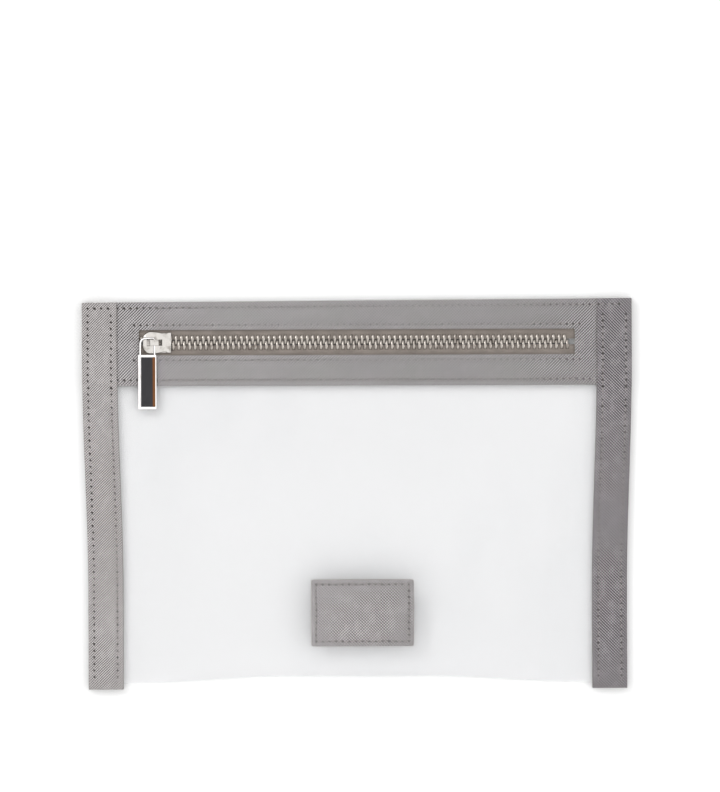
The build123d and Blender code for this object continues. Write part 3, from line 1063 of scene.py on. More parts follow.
@dataclass
class SideStrips:
    """The four side strips: one in front and one behind on each side.

    Attributes:
        seam_inset: from a strip's edge to its stitches.
        puff: how high the leather stands between its two seams.
        pinch: how deep the thread pulls in.
        edge_fall: how much the outer margin slopes down to its edge.
    """

    layout: Layout
    seam_inset: float = 2.6 * MM
    puff: float = 0.32 * MM
    pinch: float = 0.16 * MM
    edge_fall: float = 0.3 * MM
    row_step: float = 4.5 * MM

    def relief(self, inwards: float) -> float:
        """How high the face stands at that distance from the strip's outer edge."""
        width = self.layout.strip_width
        seam, far_seam = self.seam_inset, width - self.seam_inset
        if inwards <= seam:
            share = smooth(inwards / seam)
            return -self.edge_fall * (1 - share) - self.pinch * share
        if inwards >= far_seam:
            share = (inwards - far_seam) / seam
            return -self.pinch * (1 - smooth(share * 1.6)) - 0.1 * MM * smooth(share * 2 - 1)
        share = (inwards - seam) / (far_seam - seam)
        return between(-self.pinch, self.puff, math.sin(math.pi * share) ** 0.45)

    def build_one(
        self, side: Side, node: str, face_up: bool, finishes: Sequence[bpy.types.Material]
    ) -> bpy.types.Object:
        """Shape one strip.

        Args:
            side: the side of the case.
            node: the CAD node that it stands for.
            face_up: True for a front strip.
            finishes: leather and edge paint.

        Returns:
            The finished strip.
        """
        layout = self.layout
        sign = side.value
        wide = sign * layout.half_width
        inner = sign * (layout.half_width - layout.strip_width)
        top_y = layout.top_y(wide)
        outer_z = high(node).z if face_up else low(node).z
        inner_z = outer_z - layout.leather_t if face_up else outer_z + layout.leather_t
        work = Workpiece.block(
            f"{node}_leather",
            Vector((min(wide, inner), layout.low_y, min(inner_z, outer_z))),
            Vector((max(wide, inner), top_y, max(inner_z, outer_z))),
        )
        columns = [0.9, 1.8, 2.6, 3.2, 4.2, 6.0, 7.6, 9.2, 11.0, 12.0, 12.6, 13.3, 14.3]
        work.cut(Axis.X, [wide - sign * column * MM for column in columns])
        rows = spread(layout.low_y, top_y, self.row_step)
        work.cut(Axis.Y, rows[1:-1])
        work.edit()
        for column in [0.0] + [c * MM for c in columns] + [layout.strip_width]:
            column_x = wide - sign * column
            rise = self.relief(column) if face_up else self.puff - self.relief(column)
            self._raise_column(work, column_x, outer_z, rise)
        for row in rows:
            dx = sign * (layout.side_x(row) - layout.half_width)
            dz = layout.strip_top_z(row) - high(node).z if face_up else 0.0
            if abs(dx) + abs(dz) > 1e-9:
                work.slide(lambda place, row=row: abs(place.y - row) < 0.1 * MM, (dx, 0, dz))
        slope = layout.top_y(inner) - top_y
        work.slide(
            lambda place: place.y > top_y - 0.1 * MM and abs(place.x - inner) < 5 * MM,
            (0, slope * 0.85, 0),
        )
        work.leave()
        work.soften(0.22 * MM, 2, 55.0)
        paint_rim(work.piece)
        fit(work.piece, Body.CASE, finishes, [node])
        return work.piece

    def _raise_column(
        self, work: Workpiece, column_x: float, outer_z: float, rise: float
    ) -> None:
        """Raise or sink the outer face's points in one column."""
        work.slide(
            lambda place: abs(place.x - column_x) < 0.05 * MM
            and abs(place.z - outer_z) < 0.45 * MM,
            (0, 0, rise),
        )

    def build(self, leathers: dict[Side, bpy.types.Material], edge: bpy.types.Material) -> None:
        """Shape all four strips."""
        for side in Side:
            finishes = [leathers[side], edge]
            self.build_one(side, f"{side.word()}_front_strip", True, finishes)
            self.build_one(side, f"{side.word()}_back_strip", False, finishes)


@dataclass
class ZipBand:
    """The leather band with its window, and the lining behind it."""

    layout: Layout
    pinch: float = 0.12 * MM
    seam_inset: float = 2.6 * MM
    window_seam: float = 2.2 * MM

    def plate(self, name: str, node: str) -> Workpiece:
        """A plate with a slanted top edge and the zip's window, where a CAD node is."""
        layout = self.layout
        lowest, highest = low(node), high(node)
        work = Workpiece.block(name, lowest, highest)
        work.edit()
        for end_x in (lowest.x, highest.x):
            fall = layout.top_y(end_x) - highest.y
            work.slide(
                lambda place, end_x=end_x: abs(place.x - end_x) < 0.1 * MM
                and place.y > highest.y - 0.1 * MM,
                (0, fall, 0),
            )
        work.leave()
        half = Vector((layout.window_length / 2, layout.window_height / 2, 0))
        centre = Vector((0, layout.zip_y, 0))
        work.window(centre - half, centre + half)
        return work

    def grooves(self, work: Workpiece, face_z: float) -> None:
        """Pinch the face along its seams."""
        layout = self.layout
        reach = 0.75 * MM
        half_seam = layout.window_height / 2 + self.window_seam
        lines = [
            (layout.band_low_y + self.seam_inset, layout.half_width),
            (layout.zip_y - half_seam, layout.window_length / 2 + self.window_seam),
            (layout.zip_y + half_seam, layout.window_length / 2 + self.window_seam),
        ]
        cuts = [line_y + step for line_y, _ in lines for step in (-reach, 0.0, reach)]
        work.cut(Axis.Y, cuts)
        side = layout.window_length / 2 + self.window_seam
        work.cut(Axis.X, [s * side + step for s in (-1, 1) for step in (-reach, 0.0, reach)])
        work.edit()
        for line_y, end_x in lines:
            work.slide(
                lambda place, line_y=line_y, end_x=end_x: abs(place.y - line_y) < 0.02 * MM
                and abs(place.x) < end_x + 0.02 * MM
                and place.z > face_z - 0.05 * MM,
                (0, 0, -self.pinch),
            )
        work.leave()

    def build(self, finishes: Sequence[bpy.types.Material], lining: bpy.types.Material) -> None:
        """Shape the band and its lining."""
        work = self.plate("band_leather", "zip_band")
        self.grooves(work, high("zip_band").z)
        work.soften(0.22 * MM, 2, 55.0)
        paint_rim(work.piece)
        fit(work.piece, Body.CASE, finishes, ["zip_band"])
        back = self.plate("band_lining_cloth", "band_lining")
        back.soften(0.12 * MM, 2, 55.0)
        fit(back.piece, Body.CASE, [lining], ["band_lining"])


@dataclass
class LabelPatch:
    """The sewn label on the clear front."""

    layout: Layout
    corner: float = 1.1 * MM
    seam_inset: float = 2.15 * MM
    pinch: float = 0.12 * MM
    row_step: float = 2.4 * MM

    def build(self, finishes: Sequence[bpy.types.Material]) -> bpy.types.Object:
        """Shape the label over the sheet's curve."""
        layout = self.layout
        lowest, highest = low("label_patch"), high("label_patch")
        base = lowest.z
        work = Workpiece.block(
            "label_leather", lowest, Vector((highest.x, highest.y, base + layout.leather_t))
        )
        work.round_edges(self.corner, 5, lambda _, way: abs(way.z) > 0.5 * MM)
        seam_xs = [lowest.x + self.seam_inset, highest.x - self.seam_inset]
        seam_ys = [lowest.y + self.seam_inset, highest.y - self.seam_inset]
        reach = 0.7 * MM
        work.cut(Axis.X, [x + step for x in seam_xs for step in (-reach, 0.0, reach)])
        rows = sorted(
            spread(lowest.y + self.corner, highest.y - self.corner, self.row_step)
            + [y + step for y in seam_ys for step in (-reach, 0.0, reach)]
        )
        work.cut(Axis.Y, rows)
        work.edit()
        face_z = base + layout.leather_t

        def on_seam(place: Vector) -> bool:
            """True on the ring of stitches."""
            on_column = any(abs(place.x - x) < 0.02 * MM for x in seam_xs)
            on_row = any(abs(place.y - y) < 0.02 * MM for y in seam_ys)
            within_x = seam_xs[0] - 0.02 * MM < place.x < seam_xs[1] + 0.02 * MM
            within_y = seam_ys[0] - 0.02 * MM < place.y < seam_ys[1] + 0.02 * MM
            return place.z > face_z - 0.05 * MM and (
                (on_column and within_y) or (on_row and within_x)
            )

        work.slide(on_seam, (0, 0, -self.pinch))
        work.leave()
        centre_x = middle("label_patch").x
        for vertex in work.piece.data.vertices:
            vertex.co.z += layout.front_z(centre_x, vertex.co.y) + layout.layer_gap - base
        work.soften(0.2 * MM, 2, 55.0)
        paint_rim(work.piece, 0.75)
        fit(work.piece, Body.CASE, finishes, ["label_patch"])
        return work.piece


# ---- Zip ----


@dataclass
class ZipTapes:
    """The two woven tapes, each with a ribbed edge."""

    layout: Layout
    rib: float = 0.14 * MM

    def build(self, finish: bpy.types.Material) -> None:
        """Shape both tapes."""
        for node, way in (("upper_tape", 1), ("lower_tape", -1)):
            lowest, highest = low(node), high(node)
            inner_y = lowest.y if way > 0 else highest.y
            work = Workpiece.block(f"{node}_cloth", lowest, highest)
            ribs = [2.35, 2.75, 3.15, 3.6, 4.0, 4.4]
            work.cut(Axis.Y, [inner_y + way * rib * MM for rib in ribs])
            work.cut(Axis.X, spread(lowest.x, highest.x, 12 * MM)[1:-1])
            work.edit()
            for rib in (ribs[1], ribs[4]):
                rib_y = inner_y + way * rib * MM
                work.slide(
                    lambda place, rib_y=rib_y: abs(place.y - rib_y) < 0.02 * MM
                    and place.z > highest.z - 0.05 * MM,
                    (0, 0, self.rib),
                )
            work.leave()
            work.soften(0.1 * MM, 2, 60.0)
            fit(work.piece, Body.CASE, [finish], [node])


@dataclass
class ZipChain:
    """Both rows of metal teeth and the two top stops.

    Attributes:
        foot: how wide a tooth is where it clamps the tape.
        head: how wide it is where it meshes.
    """

    layout: Layout
    count: int = 76
    foot: float = 1.34 * MM
    head: float = 1.1 * MM
    tip: float = 0.9 * MM
    root: float = 3.25 * MM
    thick: float = 1.8 * MM

    def tooth(self, name: str, way: int) -> bpy.types.Object:
        """One tooth round the origin, with its head towards the other row."""
        half = self.foot / 2
        lowest = Vector((-half, min(-way * self.tip, way * self.root), -self.thick / 2))
        highest = Vector((half, max(-way * self.tip, way * self.root), self.thick / 2))
        work = Workpiece.block(name, lowest, highest)
        neck = self.tip + 0.25 * MM
        work.cut(Axis.Y, [way * neck, way * (neck + 0.3 * MM)])
        work.edit()
        for sign in (-1, 1):
            work.slide(
                lambda place, sign=sign: sign * place.x > 0
                and way * place.y < neck + 0.05 * MM,
                (-sign * (self.foot - self.head) / 2, 0, 0),
            )
        for sign in (-1, 1):
            work.slide(
                lambda place, sign=sign: sign * place.z > 0
                and way * place.y < -self.tip + 0.05 * MM,
                (0, 0, -sign * 0.3 * MM),
            )
            work.slide(
                lambda place, sign=sign: sign * place.z > 0
                and way * place.y > self.root - 0.05 * MM,
                (0, 0, -sign * 0.25 * MM),
            )
        work.leave()
        work.soften(0.16 * MM, 1, 50.0)
        return work.piece

    def build(self, finish: bpy.types.Material) -> None:
        """Set both rows and the stops."""
        layout = self.layout
        for node, way in (("upper_teeth", 1), ("lower_teeth", -1)):
            start = low(node).x + self.foot / 2
            pitch = (high(node).x - self.foot / 2 - start) / (self.count - 1)
            drift = random.Random(7 + way)
            places = []
            for n in range(self.count):
                where = Vector((start + n * pitch, layout.zip_y, layout.zip_z))
                where.y += 0.05 * MM * drift.uniform(-1, 1)
                where.z += 0.02 * MM * drift.uniform(-1, 1)
                lean = Matrix.Rotation(math.radians(drift.uniform(-1.0, 1.0)), 4, "Z")
                places.append(Matrix.Translation(where) @ lean)
            piece = repeated(f"{node}_metal", self.tooth(f"{node}_one", way), places)
            fit(piece, Body.CASE, [finish], [node])
        self.stops(finish)

    def stops(self, finish: bpy.types.Material) -> None:
        """Two bead-like top stops clamped on the tapes."""
        lowest, highest = low("top_stops"), high("top_stops")
        size = 1.7 * MM
        beads = []
        corners = [
            Vector((lowest.x, highest.y - size, lowest.z)),
            Vector((highest.x - size, lowest.y, lowest.z)),
        ]
        for n, corner in enumerate(corners):
            top = corner + Vector((size, size, highest.z - lowest.z))
            work = Workpiece.block(f"top_stop_{n}", corner, top)
            work.modify("SUBSURF", levels=1, render_levels=1, subdivision_type="SIMPLE")
            work.soften(0.5 * MM, 4, 60.0)
            beads.append(work.piece)
        piece = joined("top_stop_beads", beads)
        fit(piece, Body.CASE, [finish], ["top_stops"])


@dataclass
class ZipSlider:
    """The slider: two plates with guides, and the crown that holds the pull."""

    layout: Layout
    plate_t: float = 0.8 * MM
    nose_radius: float = 3.6 * MM
    divider: float = 2.0 * MM
    roof_inset: float = 1.1 * MM
    roof_round: float = 0.45 * MM
    foot_spread: float = 0.3 * MM

    def plate(self, name: str, bottom_z: float, domed: bool) -> bpy.types.Object:
        """One plate, with a round nose and a waist before the flared tail.

        Args:
            name: the plate's name.
            bottom_z: its lower face.
            domed: True if its upper face crowns a little.

        Returns:
            The shaped plate.
        """
        lowest, highest = low("slider_body"), high("slider_body")
        length = highest.x - lowest.x
        work = Workpiece.block(
            name,
            Vector((lowest.x, lowest.y, bottom_z)),
            Vector((highest.x, highest.y, bottom_z + self.plate_t)),
        )
        work.round_edges(
            self.nose_radius,
            8,
            lambda place, way: place.x < lowest.x + 0.1 * MM and abs(way.z) > 0.3 * MM,
        )
        waist = {0.42: 0.08, 0.55: 0.3, 0.66: 0.62, 0.74: 0.85}
        waist |= {0.8: 0.9, 0.87: 0.35, 0.94: 0.3, 1.0: 0.35}
        work.cut(Axis.X, [lowest.x + share * length for share in waist if share < 1.0])
        work.cut(Axis.Y, [self.layout.zip_y + side * 2.4 * MM for side in (-1, 1)])
        work.edit()
        for share, pull_in in waist.items():
            row_x = lowest.x + share * length
            for side in (-1, 1):
                work.slide(
                    lambda place, row_x=row_x, side=side: abs(place.x - row_x) < 0.05 * MM
                    and side * (place.y - self.layout.zip_y) > 3.0 * MM,
                    (0, -side * pull_in * MM, 0),
                )
        if domed:
            top = bottom_z + self.plate_t
            for side in (-1, 1):
                work.slide(
                    lambda place, side=side: side * (place.y - self.layout.zip_y) > 3.0 * MM
                    and place.z > top - 0.05 * MM,
                    (0, 0, -0.3 * MM),
                )
        work.leave()
        work.soften(0.22 * MM, 3, 40.0)
        return work.piece

    def build(self, finish: bpy.types.Material) -> None:
        """Shape the slider's body and crown."""
        layout = self.layout
        lowest, highest = low("slider_body"), high("slider_body")
        centre_z = (lowest.z + highest.z) / 2
        parts = [
            self.plate("slider_upper", highest.z - self.plate_t, True),
            self.plate("slider_lower", lowest.z, False),
        ]
        divider_x = lowest.x + 2.3 * MM
        post = Workpiece.rod(
            "slider_divider",
            self.divider / 2,
            Vector((divider_x, layout.zip_y, lowest.z + self.plate_t / 2)),
            Vector((divider_x, layout.zip_y, highest.z - self.plate_t / 2)),
            20,
        )
        post.soften(0.1 * MM, 2, 50.0)
        parts.append(post.piece)
        gap = 0.45 * MM
        for side in (-1, 1):
            rail_y = layout.zip_y + side * 3.95 * MM
            for from_z, to_z in (
                (centre_z + gap, highest.z - self.plate_t * 0.6),
                (lowest.z + self.plate_t * 0.6, centre_z - gap),
            ):
                rail = Workpiece.block(
                    "slider_rail",
                    Vector((lowest.x + 5.4 * MM, rail_y - 0.42 * MM, from_z)),
                    Vector((highest.x - 2.3 * MM, rail_y + 0.3 * MM, to_z)),
                )
                rail.cut(Axis.X, [lowest.x + 7.5 * MM])
                rail.soften(0.12 * MM, 2, 50.0)
                parts.append(rail.piece)
        body = joined("slider_body_metal", parts)
        fit(body, Body.SLIDER, [finish], ["slider_body"])
        self.crown(finish)

    def crown(self, finish: bpy.types.Material) -> None:
        """The strap that bridges the plate, with feet that spread on it."""
        lowest, highest = low("slider_crown"), high("slider_crown")
        wall = 0.85 * MM
        foot = 1.7 * MM
        work = Workpiece.block("slider_crown_metal", lowest, highest)
        work.cut(Axis.X, [lowest.x + foot, highest.x - foot])
        work.cut(Axis.Z, [lowest.z + wall, highest.z - wall])
        work.edit()
        work.pick(
            Kind.FACES,
            lambda place, way: abs(way.y) > 0.9
            and lowest.x + foot < place.x < highest.x - foot
            and place.z < highest.z - wall,
        )
        bpy.ops.mesh.delete(type="FACE")
        work.pick(
            Kind.FACES,
            lambda place, way: way.z < -0.9 and lowest.x + foot < place.x < highest.x - foot,
        )
        bpy.ops.mesh.delete(type="FACE")
        work.leave()
        self._close_tunnel(work)
        work.edit()
        for sign in (-1, 1):
            edge = lowest.x if sign < 0 else highest.x
            work.slide(
                lambda place, edge=edge: abs(place.x - edge) < 0.05 * MM
                and place.z > highest.z - wall - 0.05 * MM,
                (-sign * self.roof_inset, 0, 0),
            )
            roof_x = edge - sign * self.roof_inset
            work.slide(
                lambda place, roof_x=roof_x: abs(place.x - roof_x) < 0.05 * MM
                and place.z > highest.z - 0.05 * MM,
                (-sign * self.roof_round, 0, 0),
            )
            for way in (1, -1):
                work.slide(
                    lambda place, edge=edge, way=way: abs(place.x - edge) < 0.3 * MM
                    and place.z < lowest.z + 0.05 * MM
                    and way * (place.y - self.layout.zip_y) > 0,
                    (0, way * self.foot_spread, 0),
                )
        work.leave()
        work.soften(0.24 * MM, 3, 35.0)
        fit(work.piece, Body.SLIDER, [finish], ["slider_crown"])

    def _close_tunnel(self, work: Workpiece) -> None:
        """Face the tunnel's roof and sides with four walls."""
        mesh = bmesh.new()
        mesh.from_mesh(work.piece.data)
        edges = [
            e
            for e in mesh.edges
            if e.is_boundary and abs((e.verts[0].co - e.verts[1].co).y) < 1e-7
        ]
        pairs = []
        for e in edges:
            if e.verts[0].co.y < self.layout.zip_y:
                for other in edges:
                    far = other.verts[0].co.y > self.layout.zip_y
                    here = (e.verts[0].co + e.verts[1].co) / 2
                    there = (other.verts[0].co + other.verts[1].co) / 2
                    if far and (here - there).xz.length < 1e-6:
                        pairs.append((e, other))
        for near, far in pairs:
            a, b = near.verts
            c, d = far.verts
            if (a.co - c.co).xz.length > 1e-6:
                c, d = d, c
            if mesh.faces.get((a, b, d, c)) is None:
                mesh.faces.new((a, b, d, c))
        mesh.to_mesh(work.piece.data)
        mesh.free()
        work.outward()


@dataclass
class Pull:
    """The pull: a round wire loop and a framed tab with a dark glossy panel."""

    layout: Layout
    wire: float = 0.46 * MM
    border: float = 1.0 * MM
    recess: float = 0.3 * MM
    wall: float = 0.12 * MM
    shift: float = 0.55 * MM

    def loop(self, axis_x: float, axis_z: float, joint_y: float) -> bpy.types.Object:
        """The wire loop, from the tab up, over the arch and back down through the crown."""
        zip_y = self.layout.zip_y
        tab_low, tab_high = low("pull_tab"), high("pull_tab")
        left_x = (tab_low.x + tab_high.x) / 2 - 3.15 * MM
        right_x = axis_x
        top_y = tab_high.y - self.wire
        big, small = 2.6 * MM, 0.9 * MM
        nothing_selected()
        bpy.ops.mesh.primitive_circle_add(
            vertices=14,
            radius=self.wire,
            fill_type="NGON",
            location=(left_x, joint_y - 0.4 * MM, axis_z),
            rotation=(math.pi / 2, 0, 0),
        )
        work = Workpiece._fresh("pull_loop")
        work.edit()
        bpy.ops.mesh.select_all(action="SELECT")
        bpy.ops.mesh.extrude_region_move(
            TRANSFORM_OT_translate={"value": (0, top_y - big - joint_y + 0.4 * MM, 0)}
        )
        bpy.ops.mesh.spin(
            steps=10,
            angle=math.pi / 2,
            center=(left_x + big, top_y - big, axis_z),
            axis=(0, 0, 1),
        )
        bpy.ops.mesh.extrude_region_move(
            TRANSFORM_OT_translate={"value": (right_x - small - left_x - big, 0, 0)}
        )
        bpy.ops.mesh.spin(
            steps=6,
            angle=math.pi / 2,
            center=(right_x - small, top_y - small, axis_z),
            axis=(0, 0, 1),
        )
        for fall in (top_y - small - zip_y, zip_y - joint_y + 0.4 * MM):
            bpy.ops.mesh.extrude_region_move(TRANSFORM_OT_translate={"value": (0, -fall, 0)})
        work.leave()
        work.outward()
        work.shade(40.0)
        return work.piece

    def build(
        self, metal: bpy.types.Material, mirror: bpy.types.Material, copper: bpy.types.Material
    ) -> None:
        """Shape the loop and the tab, and dress the panel."""
        joint = next(j for j in frame["joints"] if j["name"] == "pull_swing")
        axis_x, axis_z = joint["pos_m"][0], joint["pos_m"][2]
        lowest, highest = low("pull_tab"), high("pull_tab")
        joint_y = self.layout.zip_y - 5.3 * MM
        loop = self.loop(axis_x, axis_z, joint_y)
        work = Workpiece.block(
            "pull_plate", lowest, Vector((highest.x, joint_y, highest.z))
        )
        work.edit()
        for sign in (1, -1):
            work.pick(Kind.FACES, lambda _, way, sign=sign: sign * way.z > 0.9)
            bpy.ops.mesh.inset(thickness=self.border, depth=0)
            depth = self.recess if sign > 0 else self.wall
            bpy.ops.mesh.inset(thickness=self.wall, depth=-depth)
        inner_x = highest.x - self.border - 0.3 * MM
        top = Vector((highest.x - 0.05 * MM, 0, lowest.z + 0.5 * (highest.z - lowest.z)))
        work.slide(
            lambda place: inner_x < place.x < top.x and place.z > top.z, (self.shift, 0, 0)
        )
        work.leave()
        work.soften(0.14 * MM, 3, 35.0)
        parts = [work.piece, loop, self._copper_strip(lowest, highest, joint_y)]
        for part in parts:
            for finish in (metal, mirror, copper):
                part.data.materials.append(finish)
        for polygon in parts[0].data.polygons:
            inner = abs(polygon.center.x - (lowest.x + highest.x) / 2) < 2.0 * MM
            panel = polygon.normal.z > 0.9 and polygon.center.z < highest.z - 0.1 * MM and inner
            polygon.material_index = 1 if panel else 0
        for polygon in parts[2].data.polygons:
            polygon.material_index = 2
        piece = joined("pull_metal_tab", parts)
        fit(piece, Body.PULL, [metal, mirror, copper], ["pull_tab"])

    def _copper_strip(
        self, lowest: Vector, highest: Vector, joint_y: float
    ) -> bpy.types.Object:
        """The slim copper-toned line inside the panel's right border."""
        right = highest.x - self.border - self.wall + self.shift
        floor_z = highest.z - self.recess
        work = Workpiece.block(
            "pull_copper_line",
            Vector((right - 1.05 * MM, lowest.y + self.border + self.wall, floor_z - 0.1 * MM)),
            Vector((right, joint_y - self.border - self.wall, floor_z + 0.12 * MM)),
        )
        work.soften(0.05 * MM, 2, 50.0)
        return work.piece


# ---- Seams ----


@dataclass(frozen=True)
class SeamRun:
    """One seam of lock stitches.

    Attributes:
        name: the seam's name.
        node: the CAD node that its needle thread stands for.
        points: the corners that it turns at.
        face_z: the face's height at a place.
    """

    name: str
    node: str
    points: list[tuple[float, float]]
    face_z: Callable[[float, float], float]


@dataclass
class Seams:
    """All the stitching: threads on the face, needle holes as dark ovals of painted shade, and
    threads behind.
    """

    layout: Layout
    strips: SideStrips
    pitch: float = 2.87 * MM
    hole_gap: float = 1.0 * MM
    thick: float = 0.4 * MM
    proud: float = 0.16 * MM

    def stitch(self, name: str) -> bpy.types.Object:
        """One stitch round the origin, a rod whose ends dip into the leather."""
        length = self.pitch - self.hole_gap
        work = Workpiece.rod(
            name, self.thick / 2, Vector((-length / 2, 0, 0)), Vector((length / 2, 0, 0)), 6
        )
        work.cut(Axis.X, [-length * 0.36, 0.0, length * 0.36])
        work.edit()
        for sign in (-1, 1):
            work.pick(Kind.POINTS, lambda place, _, sign=sign: sign * place.x > length * 0.45)
            bpy.ops.transform.resize(
                value=(1, 0.55, 0.55), center_override=(sign * length / 2, 0, 0)
            )
            bpy.ops.transform.translate(value=(0, 0, -0.16 * MM))
        work.leave()
        work.outward()
        work.shade(60.0)
        return work.piece

    def hole(self, name: str) -> bpy.types.Object:
        """One slanted needle hole: a small dished oval."""
        nothing_selected()
        bpy.ops.mesh.primitive_cylinder_add(vertices=8, radius=0.62 * MM, depth=0.16 * MM)
        work = Workpiece._fresh(name)
        work.edit()
        work.pick(Kind.FACES, lambda _, way: way.z > 0.9)
        bpy.ops.mesh.inset(thickness=0.1 * MM, depth=-0.06 * MM)
        bpy.ops.mesh.select_all(action="SELECT")
        bpy.ops.transform.resize(value=(1.0, 0.7, 1.0), center_override=(0, 0, 0))
        work.leave()
        work.shade(50.0)
        return work.piece

    def places(self, run: SeamRun) -> tuple[list[Matrix], list[Matrix]]:
        """Where a seam's stitches and holes go.

        Args:
            run: the seam.

        Returns:
            The stitches' places and the holes' places.
        """
        stitches, holes = [], []
        drift = random.Random(run.name)
        for (x0, y0), (x1, y1) in zip(run.points, run.points[1:]):
            count = max(1, round(math.hypot(x1 - x0, y1 - y0) / self.pitch))
            turn = math.atan2(y1 - y0, x1 - x0)
            for n in range(count):
                ends = [
                    (between(x0, x1, share), between(y0, y1, share))
                    for share in (n / count, (n + 1) / count)
                ]
                here, there = (Vector((*end, run.face_z(*end))) for end in ends)
                centre = (here + there) / 2
                rise = math.atan2(there.z - here.z, (there - here).xy.length)
                spin = Matrix.Rotation(turn + math.radians(drift.uniform(-3, 3)), 4, "Z")
                tilt = Matrix.Rotation(-rise, 4, "Y")
                lift = Matrix.Translation((0, 0, self.proud - self.thick / 2))
                stitches.append(Matrix.Translation(centre) @ spin @ tilt @ lift)
                slant = math.radians(-38 + drift.uniform(-12, 12))
                wide, tall = drift.uniform(0.85, 1.15), drift.uniform(0.85, 1.2)
                size = Matrix.Diagonal((wide, tall, 1, 1))
                at = Matrix.Translation(here + Vector((0, 0, 0.09 * MM)))
                holes.append(at @ Matrix.Rotation(slant, 4, "Z") @ tilt @ size)
        return stitches, holes

    def runs(self) -> list[SeamRun]:
        """Every seam that shows on the face."""
        layout, inset = self.layout, self.strips.seam_inset
        band_z = high("zip_band").z - 0.12 * MM
        inner_x = layout.half_width - layout.strip_width
        width = layout.strip_width

        def on_band(x: float, y: float) -> float:
            """The band's pinched face."""
            return band_z

        def on_trim(x: float, y: float) -> float:
            """A strip's pinched face, or the band's between the strips."""
            on_strip = abs(x) > layout.side_x(y) - width
            if on_strip:
                return layout.strip_top_z(y) + self.strips.relief(inset)
            return high("zip_band").z

        def on_strip_end(x: float, y: float) -> float:
            """A strip's puffed face along its top seam."""
            return layout.strip_top_z(y) + self.strips.relief(layout.half_width - abs(x))

        def on_label(x: float, y: float) -> float:
            """The label's pinched face."""
            z = layout.front_z(middle("label_patch").x, y) + layout.layer_gap
            return z + layout.leather_t - 0.12 * MM

        def top(x: float) -> tuple[float, float]:
            """A point of the seam along the top edge."""
            return x, layout.top_y(x) - inset

        def ring(centre: Vector, half: Vector) -> list[tuple[float, float]]:
            """The four corners of a closed seam."""
            signs = ((-1, 1), (1, 1), (1, -1), (-1, -1), (-1, 1))
            return [(centre.x + a * half.x, centre.y + b * half.y) for a, b in signs]

        corner = layout.half_width - inset
        window = Vector((layout.window_length, layout.window_height, 0)) / 2
        window += Vector((2.2 * MM, 2.2 * MM, 0))
        label = (high("label_patch") - low("label_patch")) / 2
        label -= Vector((2.15 * MM, 2.15 * MM, 0))
        from_x, to_x = inner_x - 0.3 * MM, inner_x + 0.8 * MM
        around = ring(Vector((0, layout.zip_y, 0)), window)
        band_y = layout.band_low_y + inset
        made = [
            SeamRun("top_seam_left", "top_seam_thread", [top(-corner), top(-to_x)], on_strip_end),
            SeamRun("top_seam_middle", "top_seam_thread", [top(-from_x), top(from_x)], on_trim),
            SeamRun("top_seam_right", "top_seam_thread", [top(to_x), top(corner)], on_strip_end),
            SeamRun("window_seam", "window_thread", around, on_band),
            SeamRun(
                "band_seam", "band_seam_thread", [(-from_x, band_y), (from_x, band_y)], on_band
            ),
            SeamRun("label_seam", "label_thread", ring(middle("label_patch"), label), on_label),
        ]
        ys = spread(layout.low_y + inset, low("top_seam_thread").y - self.pitch, 12 * MM)[::-1]
        for side in Side:
            for word, far in (("outer", inset), ("inner", width - inset)):
                points = [(side.value * (layout.side_x(y) - far), y) for y in ys]
                name = f"{side.word()}_{word}"
                made.append(SeamRun(f"{name}_seam", f"{name}_thread", points, on_trim))
        return made

    def build(self, thread: bpy.types.Material, hole: bpy.types.Material) -> None:
        """Sew every seam."""
        sewn: set[str] = set()
        for run in self.runs():
            stitches, holes = self.places(run)
            piece = repeated(f"{run.name}_stitches", self.stitch("one_stitch"), stitches)
            stands_for = [] if run.node in sewn else [run.node]
            sewn.add(run.node)
            fit(piece, Body.CASE, [thread], stands_for)
            # Each needle hole is a dark oval set at the face: painted shade for the inside of the
            # hole.
            pricked = repeated(f"{run.name}_holes", self.hole("one_hole"), holes)
            fit(pricked, Body.CASE, [hole])
        self.build_behind(thread)

    def build_behind(self, thread: bpy.types.Material) -> None:
        """Sew the bobbin side of the side strips, in their pinched grooves."""
        for run in self.runs():
            if not run.name.endswith(("outer_seam", "inner_seam")):
                continue
            stitches, _ = self.places(run)
            behind = []
            for place in stitches:
                where = place.translation.copy()
                where.z = self.strips.puff + self.strips.pinch - self.proud + self.thick / 2
                turn = place.to_euler().z
                flat = Matrix.Rotation(turn, 4, "Z") @ Matrix.Rotation(math.pi, 4, "X")
                behind.append(Matrix.Translation(where) @ flat)
            piece = repeated(f"{run.name}_bobbin", self.stitch("one_stitch"), behind)
            fit(piece, Body.CASE, [thread])


# ---- Studio ----


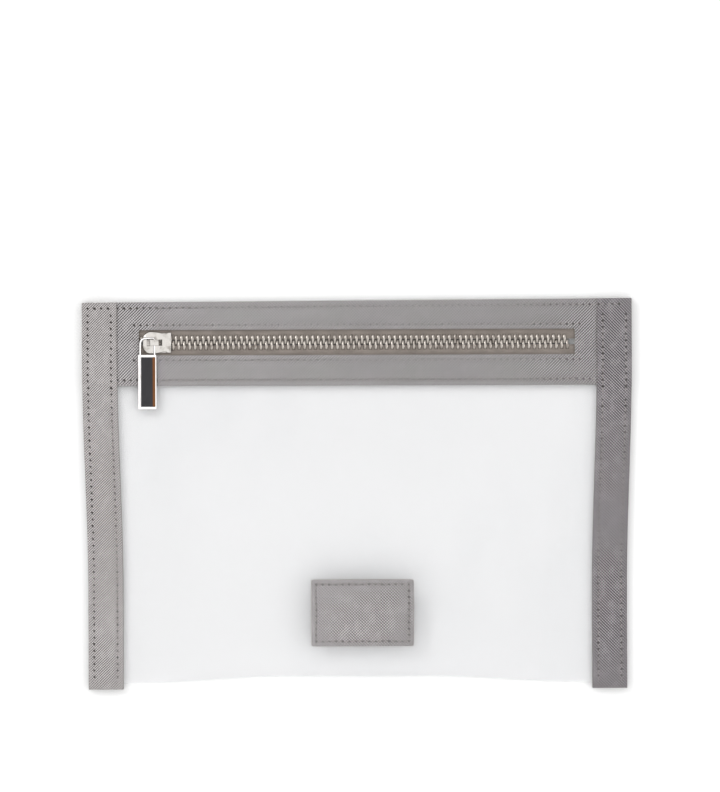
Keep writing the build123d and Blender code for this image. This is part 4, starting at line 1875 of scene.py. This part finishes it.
@dataclass
class Studio:
    """A pale floor, soft light and the camera straight above.

    Attributes:
        view_width: how much of the floor the picture is wide.
        height: the camera's height.
        look: where the camera looks, on the floor.
    """

    view_width: float = 314.9 * MM
    height: float = 2.2
    look: tuple[float, float] = (1.3 * MM, 42.3 * MM)
    roll: float = -0.2

    def floor(self) -> None:
        """Lay the floor and paint it."""
        nothing_selected()
        bpy.ops.mesh.primitive_plane_add(size=8.0, location=(0, 0, -0.05 * MM))
        work = Workpiece._fresh("studio_floor")
        recipe = Recipe("floor_paint")
        cloud = recipe.noise(2.0, 2.0)
        recipe.set(
            Base_Color=recipe.mix(cloud, (0.90, 0.90, 0.90), (0.915, 0.915, 0.915)),
            Roughness=0.6 + cloud * 0.1,
            Specular_IOR_Level=0.1,
        )
        work.piece.data.materials.append(recipe.material)

    def panel(
        self, name: str, place: Vector, size: tuple[float, float], power: float
    ) -> None:
        """Hang one soft light that points at the case."""
        light = bpy.data.lights.new(name, "AREA")
        light.shape = "RECTANGLE"
        light.size, light.size_y = size
        light.energy = power
        holder = bpy.data.objects.new(name, light)
        holder.location = place
        aim = Vector((0, 0, 0)) - place
        holder.rotation_euler = aim.to_track_quat("-Z", "Y").to_euler()
        bpy.context.scene.collection.objects.link(holder)

    def light(self) -> None:
        """Light the set evenly, a little more from the top left."""
        world = bpy.data.worlds.new("studio_world")
        world.use_nodes = True
        backdrop = world.node_tree.nodes["Background"]
        backdrop.inputs["Color"].default_value = (1.0, 1.0, 1.0, 1.0)
        tree = world.node_tree
        way = tree.nodes.new("ShaderNodeTexCoord").outputs["Generated"]
        split = tree.nodes.new("ShaderNodeSeparateXYZ")
        tree.links.new(way, split.inputs[0])
        dome = tree.nodes.new("ShaderNodeMapRange")
        dome.interpolation_type = "SMOOTHSTEP"
        levels = {"From Min": 0.3, "From Max": 0.85, "To Min": 0.15, "To Max": 1.52}
        for socket, value in levels.items():
            dome.inputs[socket].default_value = value
        tree.links.new(split.outputs["Z"], dome.inputs["Value"])
        tree.links.new(dome.outputs[0], backdrop.inputs["Strength"])
        scene = bpy.context.scene
        scene.world = world
        scene.view_settings.view_transform = "Standard"
        self.panel("key_panel", Vector((-1.2, 1.0, 1.6)), (0.8, 0.6), 8.0)
        self.panel("fill_panel", Vector((1.5, -0.2, 1.3)), (0.8, 0.8), 4.0)

    def camera(self) -> None:
        """Set the camera straight above the case."""
        lens = bpy.data.cameras.new("studio_camera")
        lens.sensor_fit = "HORIZONTAL"
        lens.sensor_width = 36.0
        lens.lens = lens.sensor_width * self.height / self.view_width
        lens.clip_start = 0.01
        holder = bpy.data.objects.new("studio_camera", lens)
        holder.location = (*self.look, self.height)
        holder.rotation_euler = (0, 0, math.radians(self.roll))
        bpy.context.scene.collection.objects.link(holder)
        bpy.context.scene.camera = holder

    def build(self) -> None:
        """Set up the whole studio."""
        self.floor()
        self.light()
        self.camera()


def main() -> None:
    """Build the pouch piece by piece, in order."""
    logging.basicConfig(level=logging.INFO, format="%(name)s: %(message)s")
    Studio().build()
    finishes = Finishes()
    layout = Layout()
    strips = SideStrips(layout)
    ClearSheet(layout).build(finishes.plastic)
    ZipBand(layout).build([finishes.band, finishes.edge], finishes.lining)
    strips.build(finishes.strips, finishes.edge)
    LabelPatch(layout).build([finishes.label, finishes.label_edge])
    ZipTapes(layout).build(finishes.tape)
    ZipChain(layout).build(finishes.teeth)
    ZipSlider(layout).build(finishes.slider)
    Pull(layout).build(finishes.pull, finishes.mirror, finishes.copper)
    Seams(layout, strips).build(finishes.thread, finishes.hole)


if __name__ == "__main__":
    main()
